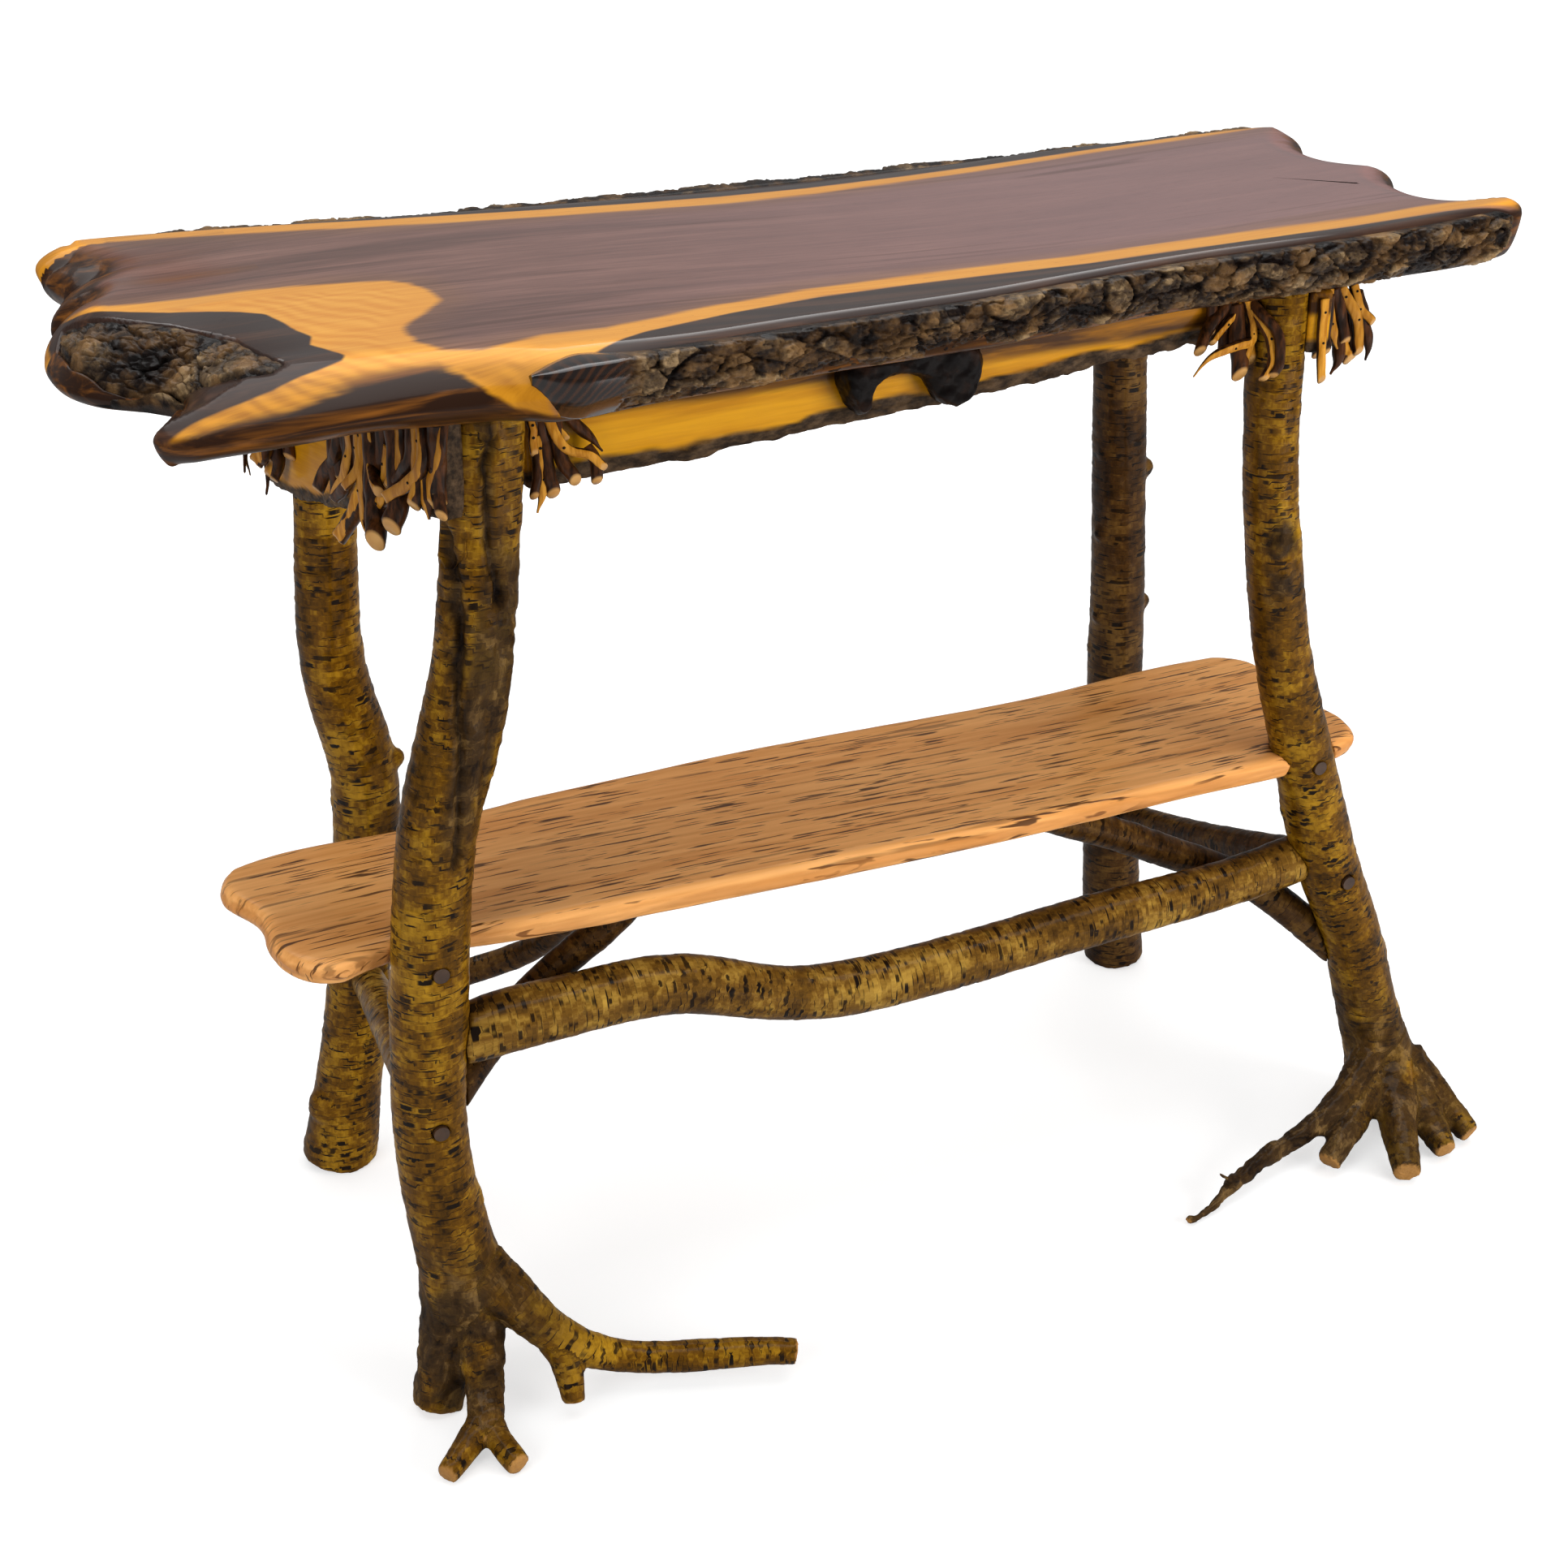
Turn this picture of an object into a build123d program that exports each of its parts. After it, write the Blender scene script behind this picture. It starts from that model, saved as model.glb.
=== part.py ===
"""Rustic console table: a live-edge walnut slab on birch-branch legs with root feet, and a shallow drawer.

X runs along the table, Y from front to back and Z up from the floor. The origin lies on the floor
under the middle of the table. Every length is in millimetres.
"""
from build123d import *
from math import cos, hypot, sin, tau
import os

os.makedirs("parts", exist_ok=True)

# ------------------------------------------------------------------ slab
table_height = 840
slab_thickness = 46
slab_rim_height = 33            # widest line of the edge, above the underside
slab_rim_round = 9              # how far the top edge is rounded in
slab_underside = table_height - slab_thickness
slab_rim = slab_underside + slab_rim_height

# Edge of the wood at its widest line, as (x, y, undercut), where undercut is how far the
# underside lies inside that line.
front_wood_edge = [(-262, -200, 20), (-190, -193, 22), (-105, -186, 24), (20, -180, 26),
                   (120, -167, 24), (220, -155, 22), (330, -150, 18), (440, -141, 16), (535, -124, 12)]
right_wood_edge = [(556, -104, 10), (541, -84, 8), (513, -62, 8), (516, -10, 8), (541, 38, 8),
                   (524, 82, 8), (528, 130, 8), (553, 180, 9)]
back_wood_edge = [(540, 214, 10), (440, 209, 12), (300, 207, 12), (90, 204, 12), (-100, 206, 12),
                  (-260, 213, 12), (-390, 226, 12), (-490, 242, 10)]
left_wood_edge = [(-534, 248, 7), (-530, 184, 6), (-551, 134, 6), (-536, 88, 6), (-560, 36, 7),
                  (-560, -14, 7), (-531, -50, 6), (-499, -76, 6), (-503, -118, 6), (-526, -167, 5),
                  (-488, -183, 10), (-440, -186, 12), (-385, -184, 14), (-330, -190, 16), (-293, -203, 18)]

# ------------------------------------------------------------------ bark on the slab
bark_thickness = 15
bark_relief = 4                 # height of the lumps on the bark
bark_top_drop = 3               # bark stays this far under the table top
bark_foot_share = 0.8           # how much of the undercut the foot of the bark follows
bark_bite = 12                  # how far a bark blank reaches into the wood before it is fitted
crotch_bark_thickness = 14
crotch_bark_outline = [(-543, -16), (-500, 4), (-432, -22), (-404, -82), (-424, -140), (-470, -138),
                       (-500, -92), (-538, -44)]
crotch_bark_centre = (-478, -66)
crotch_bark_height = 24         # middle of its upper face, above the slab's underside
crotch_bark_slope = (-0.10, -0.12)

# ------------------------------------------------------------------ legs, as (x, y, height, radius)
front_leg_y = -110
back_leg_y = 192
front_left_top = (-312, 24.5)   # x and radius of each leg under the slab
front_right_top = (330, 21)
back_left_top = (-348, 25)
back_right_top = (385, 25)
leg_top_allowance = 12          # leg blanks start this far above the slab's underside
log_section_spacing = 45        # between the sections that shape a log

front_left_trunk = [(-317, -112, 735, 25), (-323, -114, 675, 25.5), (-331, -117, 617, 26.5),
                    (-346, -119, 559, 27), (-361, -121, 505, 28.5), (-373, -123, 440, 28.5),
                    (-381, -126, 370, 28.5), (-387, -128, 305, 28.5), (-391, -131, 235, 28),
                    (-386, -134, 165, 30), (-379, -137, 112, 33), (-381, -140, 75, 33)]
front_right_trunk = [(329, -112, 733, 22.5), (334, -116, 634, 22.5), (344, -119, 563, 23),
                     (359, -121, 490, 23.5), (382, -124, 412, 25), (395, -126, 371, 25.5),
                     (423, -129, 287, 27.5), (460, -133, 200, 26.5), (490, -136, 110, 28),
                     (509, -140, 52, 32), (516, -146, 0, 34)]
back_left_trunk = [(-351, 192, 634, 25), (-356, 192, 563, 25.5), (-358, 192, 492, 26.5),
                   (-353, 193, 452, 27.5), (-344, 193, 410, 28), (-340, 193, 370, 28),
                   (-346, 193, 303, 27.5), (-361, 193, 190, 27.5), (-376, 193, 100, 29),
                   (-396, 193, 0, 33)]
back_right_trunk = [(390, 193, 620, 25), (404, 195, 433, 25.5), (410, 196, 315, 26.5),
                    (421, 195, 116, 29), (431, 191, 0, 30)]

# Second stem of the front left leg, grown together with the first.
second_stem = [(-303, -118, 735, 16), (-310, -121, 675, 16), (-319, -124, 610, 16),
               (-334, -124, 545, 16), (-350, -122, 495, 15)]

front_left_roots = [
    [(-383, -138, 95, 27), (-396, -146, 50, 23), (-411, -157, 0, 20)],
    [(-372, -145, 95, 23), (-374, -164, 58, 18), (-384, -198, 24, 15), (-388, -212, 19, 13)],
    [(-386, -205, 20, 12), (-410, -226, 13, 11), (-431, -243, 9, 9)],
    [(-385, -204, 19, 11), (-383, -232, 13, 10), (-377, -256, 9, 9)],
    [(-372, -142, 125, 23), (-350, -164, 96, 20), (-317, -186, 57, 17), (-283, -194, 34, 13.5),
     (-209, -219, 25, 12.5), (-141, -245, 24, 11)],
    [(-322, -184, 60, 15), (-317, -202, 34, 12), (-318, -214, 13, 9)]]
front_right_roots = [
    [(497, -142, 80, 18), (452, -170, 55, 14), (397, -182, 30, 10), (345, -190, 22, 9),
     (297, -206, 12, 7), (247, -218, 6, 3)],
    [(500, -150, 62, 20), (444, -190, 36, 14), (405, -209, 12, 11.5)],
    [(506, -150, 60, 24), (480, -208, 31, 18), (457, -253, 13, 13)],
    [(520, -150, 50, 22), (516, -206, 24, 16), (513, -239, 11, 11)],
    [(526, -150, 50, 24), (541, -192, 27, 16), (550, -228, 11, 11)]]
root_twig = [(312, -200, 16, 5), (298, -206, 26, 4), (287, -204, 34, 3)]

# Burls and knots on the legs, as (x, y, height, radius).
back_left_knots = [(-401, 186, 62, 19), (-315, 187, 392, 9)]
back_right_knots = [(377, 188, 560, 9), (420, 188, 540, 9), (379, 189, 480, 8), (430, 190, 402, 8),
                    (384, 190, 395, 8)]
front_right_knots = [(351, -136, 590, 9), (356, -138, 566, 8)]

# ------------------------------------------------------------------ branches between the legs
front_stretcher_route = [(-384, -124, 314, 23.5), (-313, -122, 314, 24.5), (-235, -121, 314, 24),
                         (-178, -120, 307, 24), (-122, -120, 285, 22.5), (-60, -120, 268, 22),
                         (15, -120, 264, 22), (95, -120, 266, 22), (190, -120, 271, 22),
                         (300, -120, 273, 21.5), (418, -120, 286, 20)]
left_stretcher_route = [(-388, -118, 256, 16), (-376, 20, 228, 16), (-365, 115, 206, 15.5),
                        (-360, 184, 192, 15)]
right_stretcher_route = [(430, -118, 272, 16), (424, -50, 249, 16), (421, 60, 210, 15.5),
                         (420, 188, 174, 15)]
left_brace_route = [(-385, -126, 240, 13.5), (-357, -115, 268, 13.5), (-335, -99, 280, 13.5),
                    (-302, -82, 296, 13.5), (-286, -78, 309, 13.5), (-252, -80, 334, 13.5),
                    (-229, -83, 352, 13.5), (-190, -87, 390, 13.5)]
right_brace_route = [(474, -128, 160, 14), (448, -122, 182, 14), (410, -103, 220, 14.5),
                     (378, -88, 245, 14.5), (349, -78, 262, 14.5), (288, -71, 293, 15),
                     (256, -68, 310, 15), (194, -64, 339, 15), (112, -57, 388, 15)]
back_brace_route = [(-366, 192, 143, 12.5), (-305, 180, 163, 12.5), (-264, 170, 177, 12.5),
                    (-226, 148, 196, 12), (-198, 116, 236, 12), (-172, 76, 300, 12),
                    (-150, 30, 386, 12)]

# ------------------------------------------------------------------ lower shelf
shelf_height = 396              # upper face
shelf_thickness = 20
shelf_edge_round = 7
shelf_front_edge = [(-440, -124), (-398, -112), (-330, -119), (-230, -127), (-77, -135), (138, -141),
                    (300, -140), (400, -138)]
shelf_right_edge = [(443, -126), (459, -80), (447, -30), (457, 34)]
shelf_back_edge = [(428, 68), (348, 70), (230, 63), (130, 66), (20, 72), (-80, 74), (-140, 72),
                   (-270, 66), (-345, 60), (-450, 62)]
shelf_left_edge = [(-486, 52), (-498, 18), (-481, -30), (-483, -78), (-468, -112)]
shelf_base = shelf_height - shelf_thickness

# ------------------------------------------------------------------ aprons
apron_thickness = 18
apron_let_in = 4                # depth of the flat that seats a side apron on a leg
apron_overhang = 22             # side aprons run past the centres of the legs by this much
left_apron_depths = [104, 112, 118, 130, 146, 152]      # below the slab, from front to back
right_apron_depths = [56, 58, 60, 58, 54, 50]           # below the slab, from back to front
back_apron_depths = [74, 70, 66, 62, 60]                # below the slab, from left to right

# ------------------------------------------------------------------ drawer
drawer_end_gap = 3              # drawer front to each front leg
drawer_front_face_y = -100
drawer_front_thickness = 18
drawer_front_depths = [73, 69, 62, 55, 44, 38]          # below the slab, from left to right
drawer_top_gap = 2              # drawer front to slab
drawer_box_left = -258
drawer_box_right = 278
drawer_box_length = 232
drawer_box_height = 30
drawer_box_drop = 7             # top of the box below the slab
drawer_side_thickness = 10
drawer_back_thickness = 10
drawer_bottom_thickness = 4
drawer_bottom_rise = 3          # bottom panel above the lower edge of the sides
panel_groove_depth = 5
panel_fit = 0.2
runner_thickness = 14
runner_height = 38
runner_side_gap = 1.5           # runner to drawer side
tongue_height = 8
tongue_reach = 5                # into the groove of the drawer side
tongue_drop = 16                # top of the tongue below the slab
runner_play = 0.3
runner_front_setback = 4        # behind the drawer front
runner_back_overrun = 16        # runner behind the closed drawer
stop_length = 14
stop_width = 40
stop_height = 22
stop_inset = 60                 # from each side of the drawer box

# ------------------------------------------------------------------ burl pull, (x, below the slab)
pull_outline = [(-38, -8), (-46, -24), (-38, -44), (-31, -52), (-22, -50), (-19, -36), (-4, -27),
                (12, -29), (25, -36), (33, -50), (50, -56), (62, -50), (68, -32), (67, -15),
                (54, -7), (8, -7)]
pull_thickness = 20
pull_screw_places = [(-30, -22), (50, -24)]
pull_screw_radius = 2
pull_screw_bite = 11
pull_crown = 5                  # how far the outer face of the pull is drawn in

# ------------------------------------------------------------------ twigs
twig_radius = 4.6
twig_sides = 6
twig_top_drop = 8               # first end of a twig below the slab
twig_flare = 20                 # how far the free ends stand out
left_side_twigs = 13
left_side_twig_pitch = 14
left_side_twig_length = 112
right_side_twigs = 6
right_side_twig_pitch = 12.5
right_side_twig_length = 62
drawer_twigs = 5
drawer_twig_pitch = 12
left_drawer_twig_length = 74
right_drawer_twig_length = 58
back_twigs = 5
back_twig_pitch = 12
back_left_twig_length = 152
back_right_twig_length = 74
twig_end_inset = 8              # first twig from the end of its board

# ------------------------------------------------------------------ joinery
seat_gap = 0.3                  # between a branch and the log it is coped to
bore_fit = 0.2                  # radial, round pins and screws
top_dowel_radius = 9
top_dowel_length = 40
back_dowel_inset = 10           # dowels of the back legs sit this far in front of the leg's centre
plug_radius = 6
plug_length = 9
screw_radius = 2.5
screw_head_radius = 4.5
screw_head_height = 3
apron_screw_length = 40
apron_screw_drops = (32, 47)    # below the slab
leg_screw_length = 76
left_stretcher_screw_height = 254
right_stretcher_screw_height = 268
back_left_screw_height = 191
back_right_screw_height = 172
stretcher_dowel_radius = 8
stretcher_dowel_length = 56
runner_screw_length = 48
runner_screw_inset = 30         # from each end of a runner

floor_cut_depth = 60            # only clears what a root reaches below the floor
cut_reach = 1200                # only clears past the table


# ------------------------------------------------------------------ helpers
def log(route, grow=0.0, side=Vector(0, 1, 0)):
    """Loft a round log along a smooth line through a route of (x, y, z, radius).

    The sections are evenly spaced and square to the line; side only says where they start.
    """
    line = Spline(*[station[:3] for station in route])
    places = [line.param_at_point(station[:3]) for station in route]
    count = max(round(line.length / log_section_spacing), 3)
    last = len(route) - 1
    sections = []
    for index in range(count + 1):
        share = index / count
        after = next((k for k in range(1, last) if places[k] >= share), last)
        between = (share - places[after - 1]) / (places[after] - places[after - 1])
        radius = route[after - 1][3] + (route[after][3] - route[after - 1][3]) * between
        direction = line.tangent_at(share)
        plane = Plane(origin=line.position_at(share), x_dir=side.cross(direction), z_dir=direction)
        sections.append(plane * Circle(radius + grow))
    return loft(sections)


def root(route):
    """A root or toe: a log whose sections start at its side."""
    return log(route, side=Vector(0, 0, 1))


def floor_cut():
    """Everything below the floor."""
    return Pos(0, 0, -floor_cut_depth / 2) * Box(cut_reach * 2, cut_reach * 2, floor_cut_depth)


def above_cut(level):
    """Everything above a level."""
    return Pos(0, 0, level + cut_reach / 2) * Box(cut_reach * 2, cut_reach * 2, cut_reach)


def with_top(top, leg_y, trunk):
    """Trunk route from its top, a little above the slab's underside, down to the floor."""
    x, radius = top
    return [(x, leg_y, slab_underside + leg_top_allowance, radius)] + trunk


def inset_outline(stretches, distance_of, level):
    """Closed face at a level: one spline per stretch, each point moved inwards by distance_of(undercut)."""
    points = [point for stretch in stretches for point in stretch]
    moved = []
    for index, (x, y, undercut) in enumerate(points):
        before = points[index - 1]
        after = points[(index + 1) % len(points)]
        run_x = after[0] - before[0]
        run_y = after[1] - before[1]
        run = hypot(run_x, run_y)
        distance = distance_of(undercut)
        moved.append((x - run_y / run * distance, y + run_x / run * distance, level))
    moved.append(moved[0])
    edges = []
    first = 0
    for stretch in stretches:
        last = first + len(stretch)
        edges.append(Spline(*moved[first:last + 1]))
        first = last
    return make_face(edges)


def live_edge_board(length, depths, thickness, top_gap=0.0):
    """Board in its own frame: X along, Y out through its thickness, straight top at the slab."""
    top = slab_underside - top_gap
    step = length / (len(depths) - 1)
    lower = [(index * step, slab_underside - depth) for index, depth in enumerate(depths)]
    with BuildSketch(Plane.XZ) as profile:
        with BuildLine():
            edge = Spline(*lower)
            Polyline(edge @ 1, (length, top), (0, top), edge @ 0)
        make_face()
    return extrude(profile.sketch, amount=-thickness)


def pin(place, direction, radius, length):
    """Round pin that starts at place and runs along direction."""
    plane = Plane(origin=place, z_dir=direction)
    return plane * Cylinder(radius, length, align=(Align.CENTER, Align.CENTER, Align.MIN))


def screw(place, direction, length, radius=screw_radius, grow=0.0):
    """Screw whose head starts at place; grow widens it into its bore."""
    head = pin(place, direction, radius * screw_head_radius / screw_radius + grow, screw_head_height)
    return head + pin(place, direction, radius + grow, length)


def block(x_range, y_range, z_range):
    """Box between two corners."""
    low, high = zip(x_range, y_range, z_range)
    size = [end - start for start, end in zip(low, high)]
    return Pos(*low) * Box(*size, align=(Align.MIN, Align.MIN, Align.MIN))


def at_height(route, height):
    """Centre and radius of a trunk at a height, straight between its stations."""
    for upper, lower in zip(route, route[1:]):
        if lower[2] <= height <= upper[2]:
            share = (height - lower[2]) / (upper[2] - lower[2])
            return [low + (high - low) * share for low, high in zip(lower, upper)]
    return list(route[-1])


def write(name, shape):
    """Write one sub-part."""
    export_step(shape if isinstance(shape, Compound) else Compound(children=shape.solids()), f"parts/{name}.step")


def group(shapes):
    """Separate solids of one node."""
    return Compound(children=[solid for shape in shapes for solid in shape.solids()])


# ------------------------------------------------------------------ slab and its bark
def slab_blank():
    """Walnut slab: its edge flares out from the underside to the rim and rounds in to the top."""
    outline = [front_wood_edge, right_wood_edge, back_wood_edge, left_wood_edge]
    return loft([
        inset_outline(outline, lambda undercut: undercut, slab_underside),
        inset_outline(outline, lambda undercut: 0, slab_rim),
        inset_outline(outline, lambda undercut: slab_rim_round, table_height)])


def bark_strip(edge, outward, slab):
    """Bark along one long edge; outward is -1 at the front and 1 at the back."""
    base = slab_underside + bark_top_drop
    top = table_height - bark_top_drop
    sections = []
    for index, (x, y, undercut) in enumerate(edge):
        lump = bark_relief * sin(tau * index * 0.38)
        rim = y + outward * (bark_thickness + lump)
        foot = y - outward * (undercut * bark_foot_share - bark_thickness)
        heart = y - outward * (undercut + bark_bite)
        with BuildSketch(Plane.YZ.offset(x)) as section:
            with BuildLine():
                Polyline((heart, base), (foot, base), (rim, slab_rim - lump), (rim - outward * bark_relief, top),
                         (heart, top), close=True)
            make_face()
        sections.append(section.sketch)
    return loft(sections, ruled=True) - slab


def crotch_bark_blank(thickness):
    """Bark grown into the crotch, reaching down by thickness (or up, where it is negative)."""
    x, y = crotch_bark_centre
    slope_x, slope_y = crotch_bark_slope
    plane = Plane(origin=(x, y, slab_underside + crotch_bark_height), x_dir=(1, 0, -slope_x),
                  z_dir=(slope_x, slope_y, 1))
    points = [(px - x, py - y) for px, py in crotch_bark_outline]
    outline = make_face(Spline(*points, periodic=True))
    return extrude(plane * outline, amount=-thickness)


# ------------------------------------------------------------------ legs
def leg_blank(top, leg_y, trunk, roots=(), grow=0.0):
    """A trunk from the slab to the floor with its roots, before any board is let into it."""
    blank = log(with_top(top, leg_y, trunk), grow)
    for route in roots:
        blank += root(route)
    return blank - floor_cut() - above_cut(slab_underside)


def with_knots(leg, knots):
    """Add round knots and burls to a leg."""
    for x, y, z, radius in knots:
        leg += Pos(x, y, z) * Sphere(radius)
    return leg


def front_left_blank(grow=0.0):
    """Front left leg: two stems grown together above a root foot."""
    stem = with_top((second_stem_top_x, second_stem[0][3]), second_stem[0][1], second_stem)
    roots = front_left_roots if grow == 0 else []
    leg = leg_blank(front_left_top, front_leg_y, front_left_trunk, roots, grow)
    return leg + (log(stem, grow) - above_cut(slab_underside))


# ------------------------------------------------------------------ aprons
def side_plane(start_top, start_y, end_top, end_y, side):
    """Frame of a side apron: X from its first leg to its second, Y outwards from its inner face."""
    start = Vector(start_top[0] + side * (start_top[1] - apron_let_in), start_y, 0)
    end = Vector(end_top[0] + side * (end_top[1] - apron_let_in), end_y, 0)
    along = (end - start).normalized()
    return Plane(origin=start - along * apron_overhang, x_dir=along, z_dir=(0, 0, 1)), (end - start).length


def outer_face(plane):
    """Frame of a side apron, moved out to its outer face."""
    return Plane(origin=plane.origin + plane.y_dir * apron_thickness, x_dir=plane.x_dir, z_dir=(0, 0, 1))


def apron_screw_places(plane, span):
    """Heads of the screws of one side apron, with their direction."""
    face = outer_face(plane)
    places = []
    for along in (apron_overhang, apron_overhang + span):
        for drop in apron_screw_drops:
            places.append(face.from_local_coords(Vector(along, 0, slab_underside - drop)))
    return places, -plane.y_dir


# ------------------------------------------------------------------ twigs
def twig(start, top, length, lean, flare):
    """Shaved twig on a board's own frame: straight against the board, then curving outwards."""
    reach = twig_radius * cos(tau / 2 / twig_sides) + seat_gap
    stations = [(start, reach, top, 0.8), (start + lean * 0.25, reach, top - length * 0.45, 1.0),
                (start + lean * 0.6, reach + flare * 0.35, top - length * 0.75, 0.9),
                (start + lean, reach + flare, top - length, 0.65)]
    sections = []
    for x, y, z, share in stations:
        section = RegularPolygon(twig_radius * share, twig_sides, rotation=tau / twig_sides)
        sections.append(Pos(x, y - twig_radius * (1 - share), z) * section)
    return loft(sections, ruled=True)


def twig_row(plane, count, start, pitch, length):
    """Row of twigs nailed to a board; neighbours differ in length and lean."""
    row = []
    for index in range(count):
        own_length = length * (0.8 + 0.2 * sin(tau * index * 0.29))
        lean = pitch * 0.3 * sin(tau * index * 0.17)
        flare = twig_flare * (0.6 + 0.4 * cos(tau * index * 0.41))
        top = slab_underside - twig_top_drop
        row.append(plane.location * twig(start + index * pitch, top, own_length, lean, flare))
    return group(row)


# ------------------------------------------------------------------ lower shelf and branches
def shelf_blank():
    """Shelf board with a wavy outline and soft edges."""
    stretches = [[(x, y, shelf_edge_round) for x, y in edge] for edge in
                 (shelf_front_edge, shelf_right_edge, shelf_back_edge, shelf_left_edge)]
    return loft([
        inset_outline(stretches, lambda soft: soft, shelf_base),
        inset_outline(stretches, lambda soft: 0, shelf_base + shelf_thickness / 2),
        inset_outline(stretches, lambda soft: soft, shelf_height)])


def coped(route, *logs):
    """Branch cut to fit the logs that it meets."""
    branch = log(route)
    for other in logs:
        branch -= other
    return branch


def brace(route, *logs):
    """Branch coped to logs at its foot and cut flat under the shelf."""
    return coped(route, *logs) - above_cut(shelf_base)


# ------------------------------------------------------------------ drawer
second_stem_top_x = second_stem[0][0] + front_left_top[0] - front_left_trunk[0][0]
drawer_front_left = second_stem_top_x + second_stem[0][3] + drawer_end_gap
drawer_front_right = front_right_top[0] - front_right_trunk[0][3] - drawer_end_gap
drawer_front_back_y = drawer_front_face_y + drawer_front_thickness
drawer_box_back_y = drawer_front_back_y + drawer_box_length
drawer_box_top = slab_underside - drawer_box_drop
drawer_box_base = drawer_box_top - drawer_box_height
panel_base = drawer_box_base + drawer_bottom_rise
panel_top = panel_base + drawer_bottom_thickness
tongue_top = slab_underside - tongue_drop


def panel_groove(x_range, y_range):
    """Space that the bottom panel slides into."""
    return block(x_range, y_range, (panel_base - panel_fit, panel_top + panel_fit))


def drawer_groove_reach():
    """Left and right ends of the groove round the bottom panel."""
    inset = drawer_side_thickness - panel_groove_depth
    return drawer_box_left + inset, drawer_box_right - inset


def drawer_front_board():
    """Live-edge drawer front with a groove for the bottom panel."""
    board = live_edge_board(drawer_front_right - drawer_front_left, drawer_front_depths,
                            drawer_front_thickness, drawer_top_gap)
    board = Pos(drawer_front_left, drawer_front_face_y, 0) * board
    return board - panel_groove(drawer_groove_reach(),
                                (drawer_front_back_y - panel_groove_depth, drawer_front_back_y))


def drawer_side(outer_x, inward):
    """Drawer side with the panel groove inside and the runner groove outside."""
    inner_x = outer_x + inward * drawer_side_thickness
    y_range = (drawer_front_back_y, drawer_box_back_y)
    side = block(sorted((outer_x, inner_x)), y_range, (drawer_box_base, drawer_box_top))
    side -= panel_groove(sorted((inner_x, inner_x - inward * panel_groove_depth)), y_range)
    groove_x = outer_x + inward * (tongue_reach + runner_play)
    groove_z = (tongue_top - tongue_height - runner_play, tongue_top + runner_play)
    return side - block(sorted((outer_x, groove_x)), y_range, groove_z)


def drawer_back_board():
    """Drawer back, standing on the bottom panel between the sides."""
    return block((drawer_box_left + drawer_side_thickness, drawer_box_right - drawer_side_thickness),
                 (drawer_box_back_y - drawer_back_thickness, drawer_box_back_y),
                 (panel_top + panel_fit, drawer_box_top))


def drawer_bottom_panel():
    """Thin panel in the grooves of the front and the sides."""
    left, right = drawer_groove_reach()
    return block((left + panel_fit, right - panel_fit),
                 (drawer_front_back_y - panel_groove_depth + panel_fit, drawer_box_back_y),
                 (panel_base, panel_top))


def runner(side_x, inward):
    """Runner hung under the slab, with a tongue that carries the drawer side."""
    near = side_x - inward * runner_side_gap
    far = near - inward * runner_thickness
    tip = side_x + inward * tongue_reach
    y_range = (drawer_front_back_y + runner_front_setback, drawer_box_back_y + runner_back_overrun)
    rail = block(sorted((near, far)), y_range, (slab_underside - runner_height, slab_underside))
    return rail + block(sorted((near, tip)), y_range, (tongue_top - tongue_height, tongue_top))


def runner_screw_places(side_x, inward):
    """Heads of the screws of one runner, on its lower face."""
    x = side_x - inward * (runner_side_gap + runner_thickness / 2)
    front = drawer_front_back_y + runner_front_setback + runner_screw_inset
    back = drawer_box_back_y + runner_back_overrun - runner_screw_inset
    return [(x, y, slab_underside - runner_height) for y in (front, back)]


def drawer_stop_blocks():
    """Two blocks behind the closed drawer."""
    blocks = []
    for x in (drawer_box_left + stop_inset, drawer_box_right - stop_inset - stop_width):
        blocks.append(block((x, x + stop_width),
                            (drawer_box_back_y + seat_gap, drawer_box_back_y + seat_gap + stop_length),
                            (slab_underside - stop_height, slab_underside)))
    return group(blocks)


def burl_pull():
    """Burl slice with an arch for the fingers, crowned outwards."""
    plane = Plane(origin=(0, drawer_front_face_y, slab_underside), x_dir=(1, 0, 0), z_dir=(0, -1, 0))
    outline = [[(x, y, pull_crown) for x, y in pull_outline]]
    return plane.location * loft([
        inset_outline(outline, lambda crown: 0, 0),
        inset_outline(outline, lambda crown: 0, pull_thickness / 2),
        inset_outline(outline, lambda crown: crown, pull_thickness)])


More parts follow.
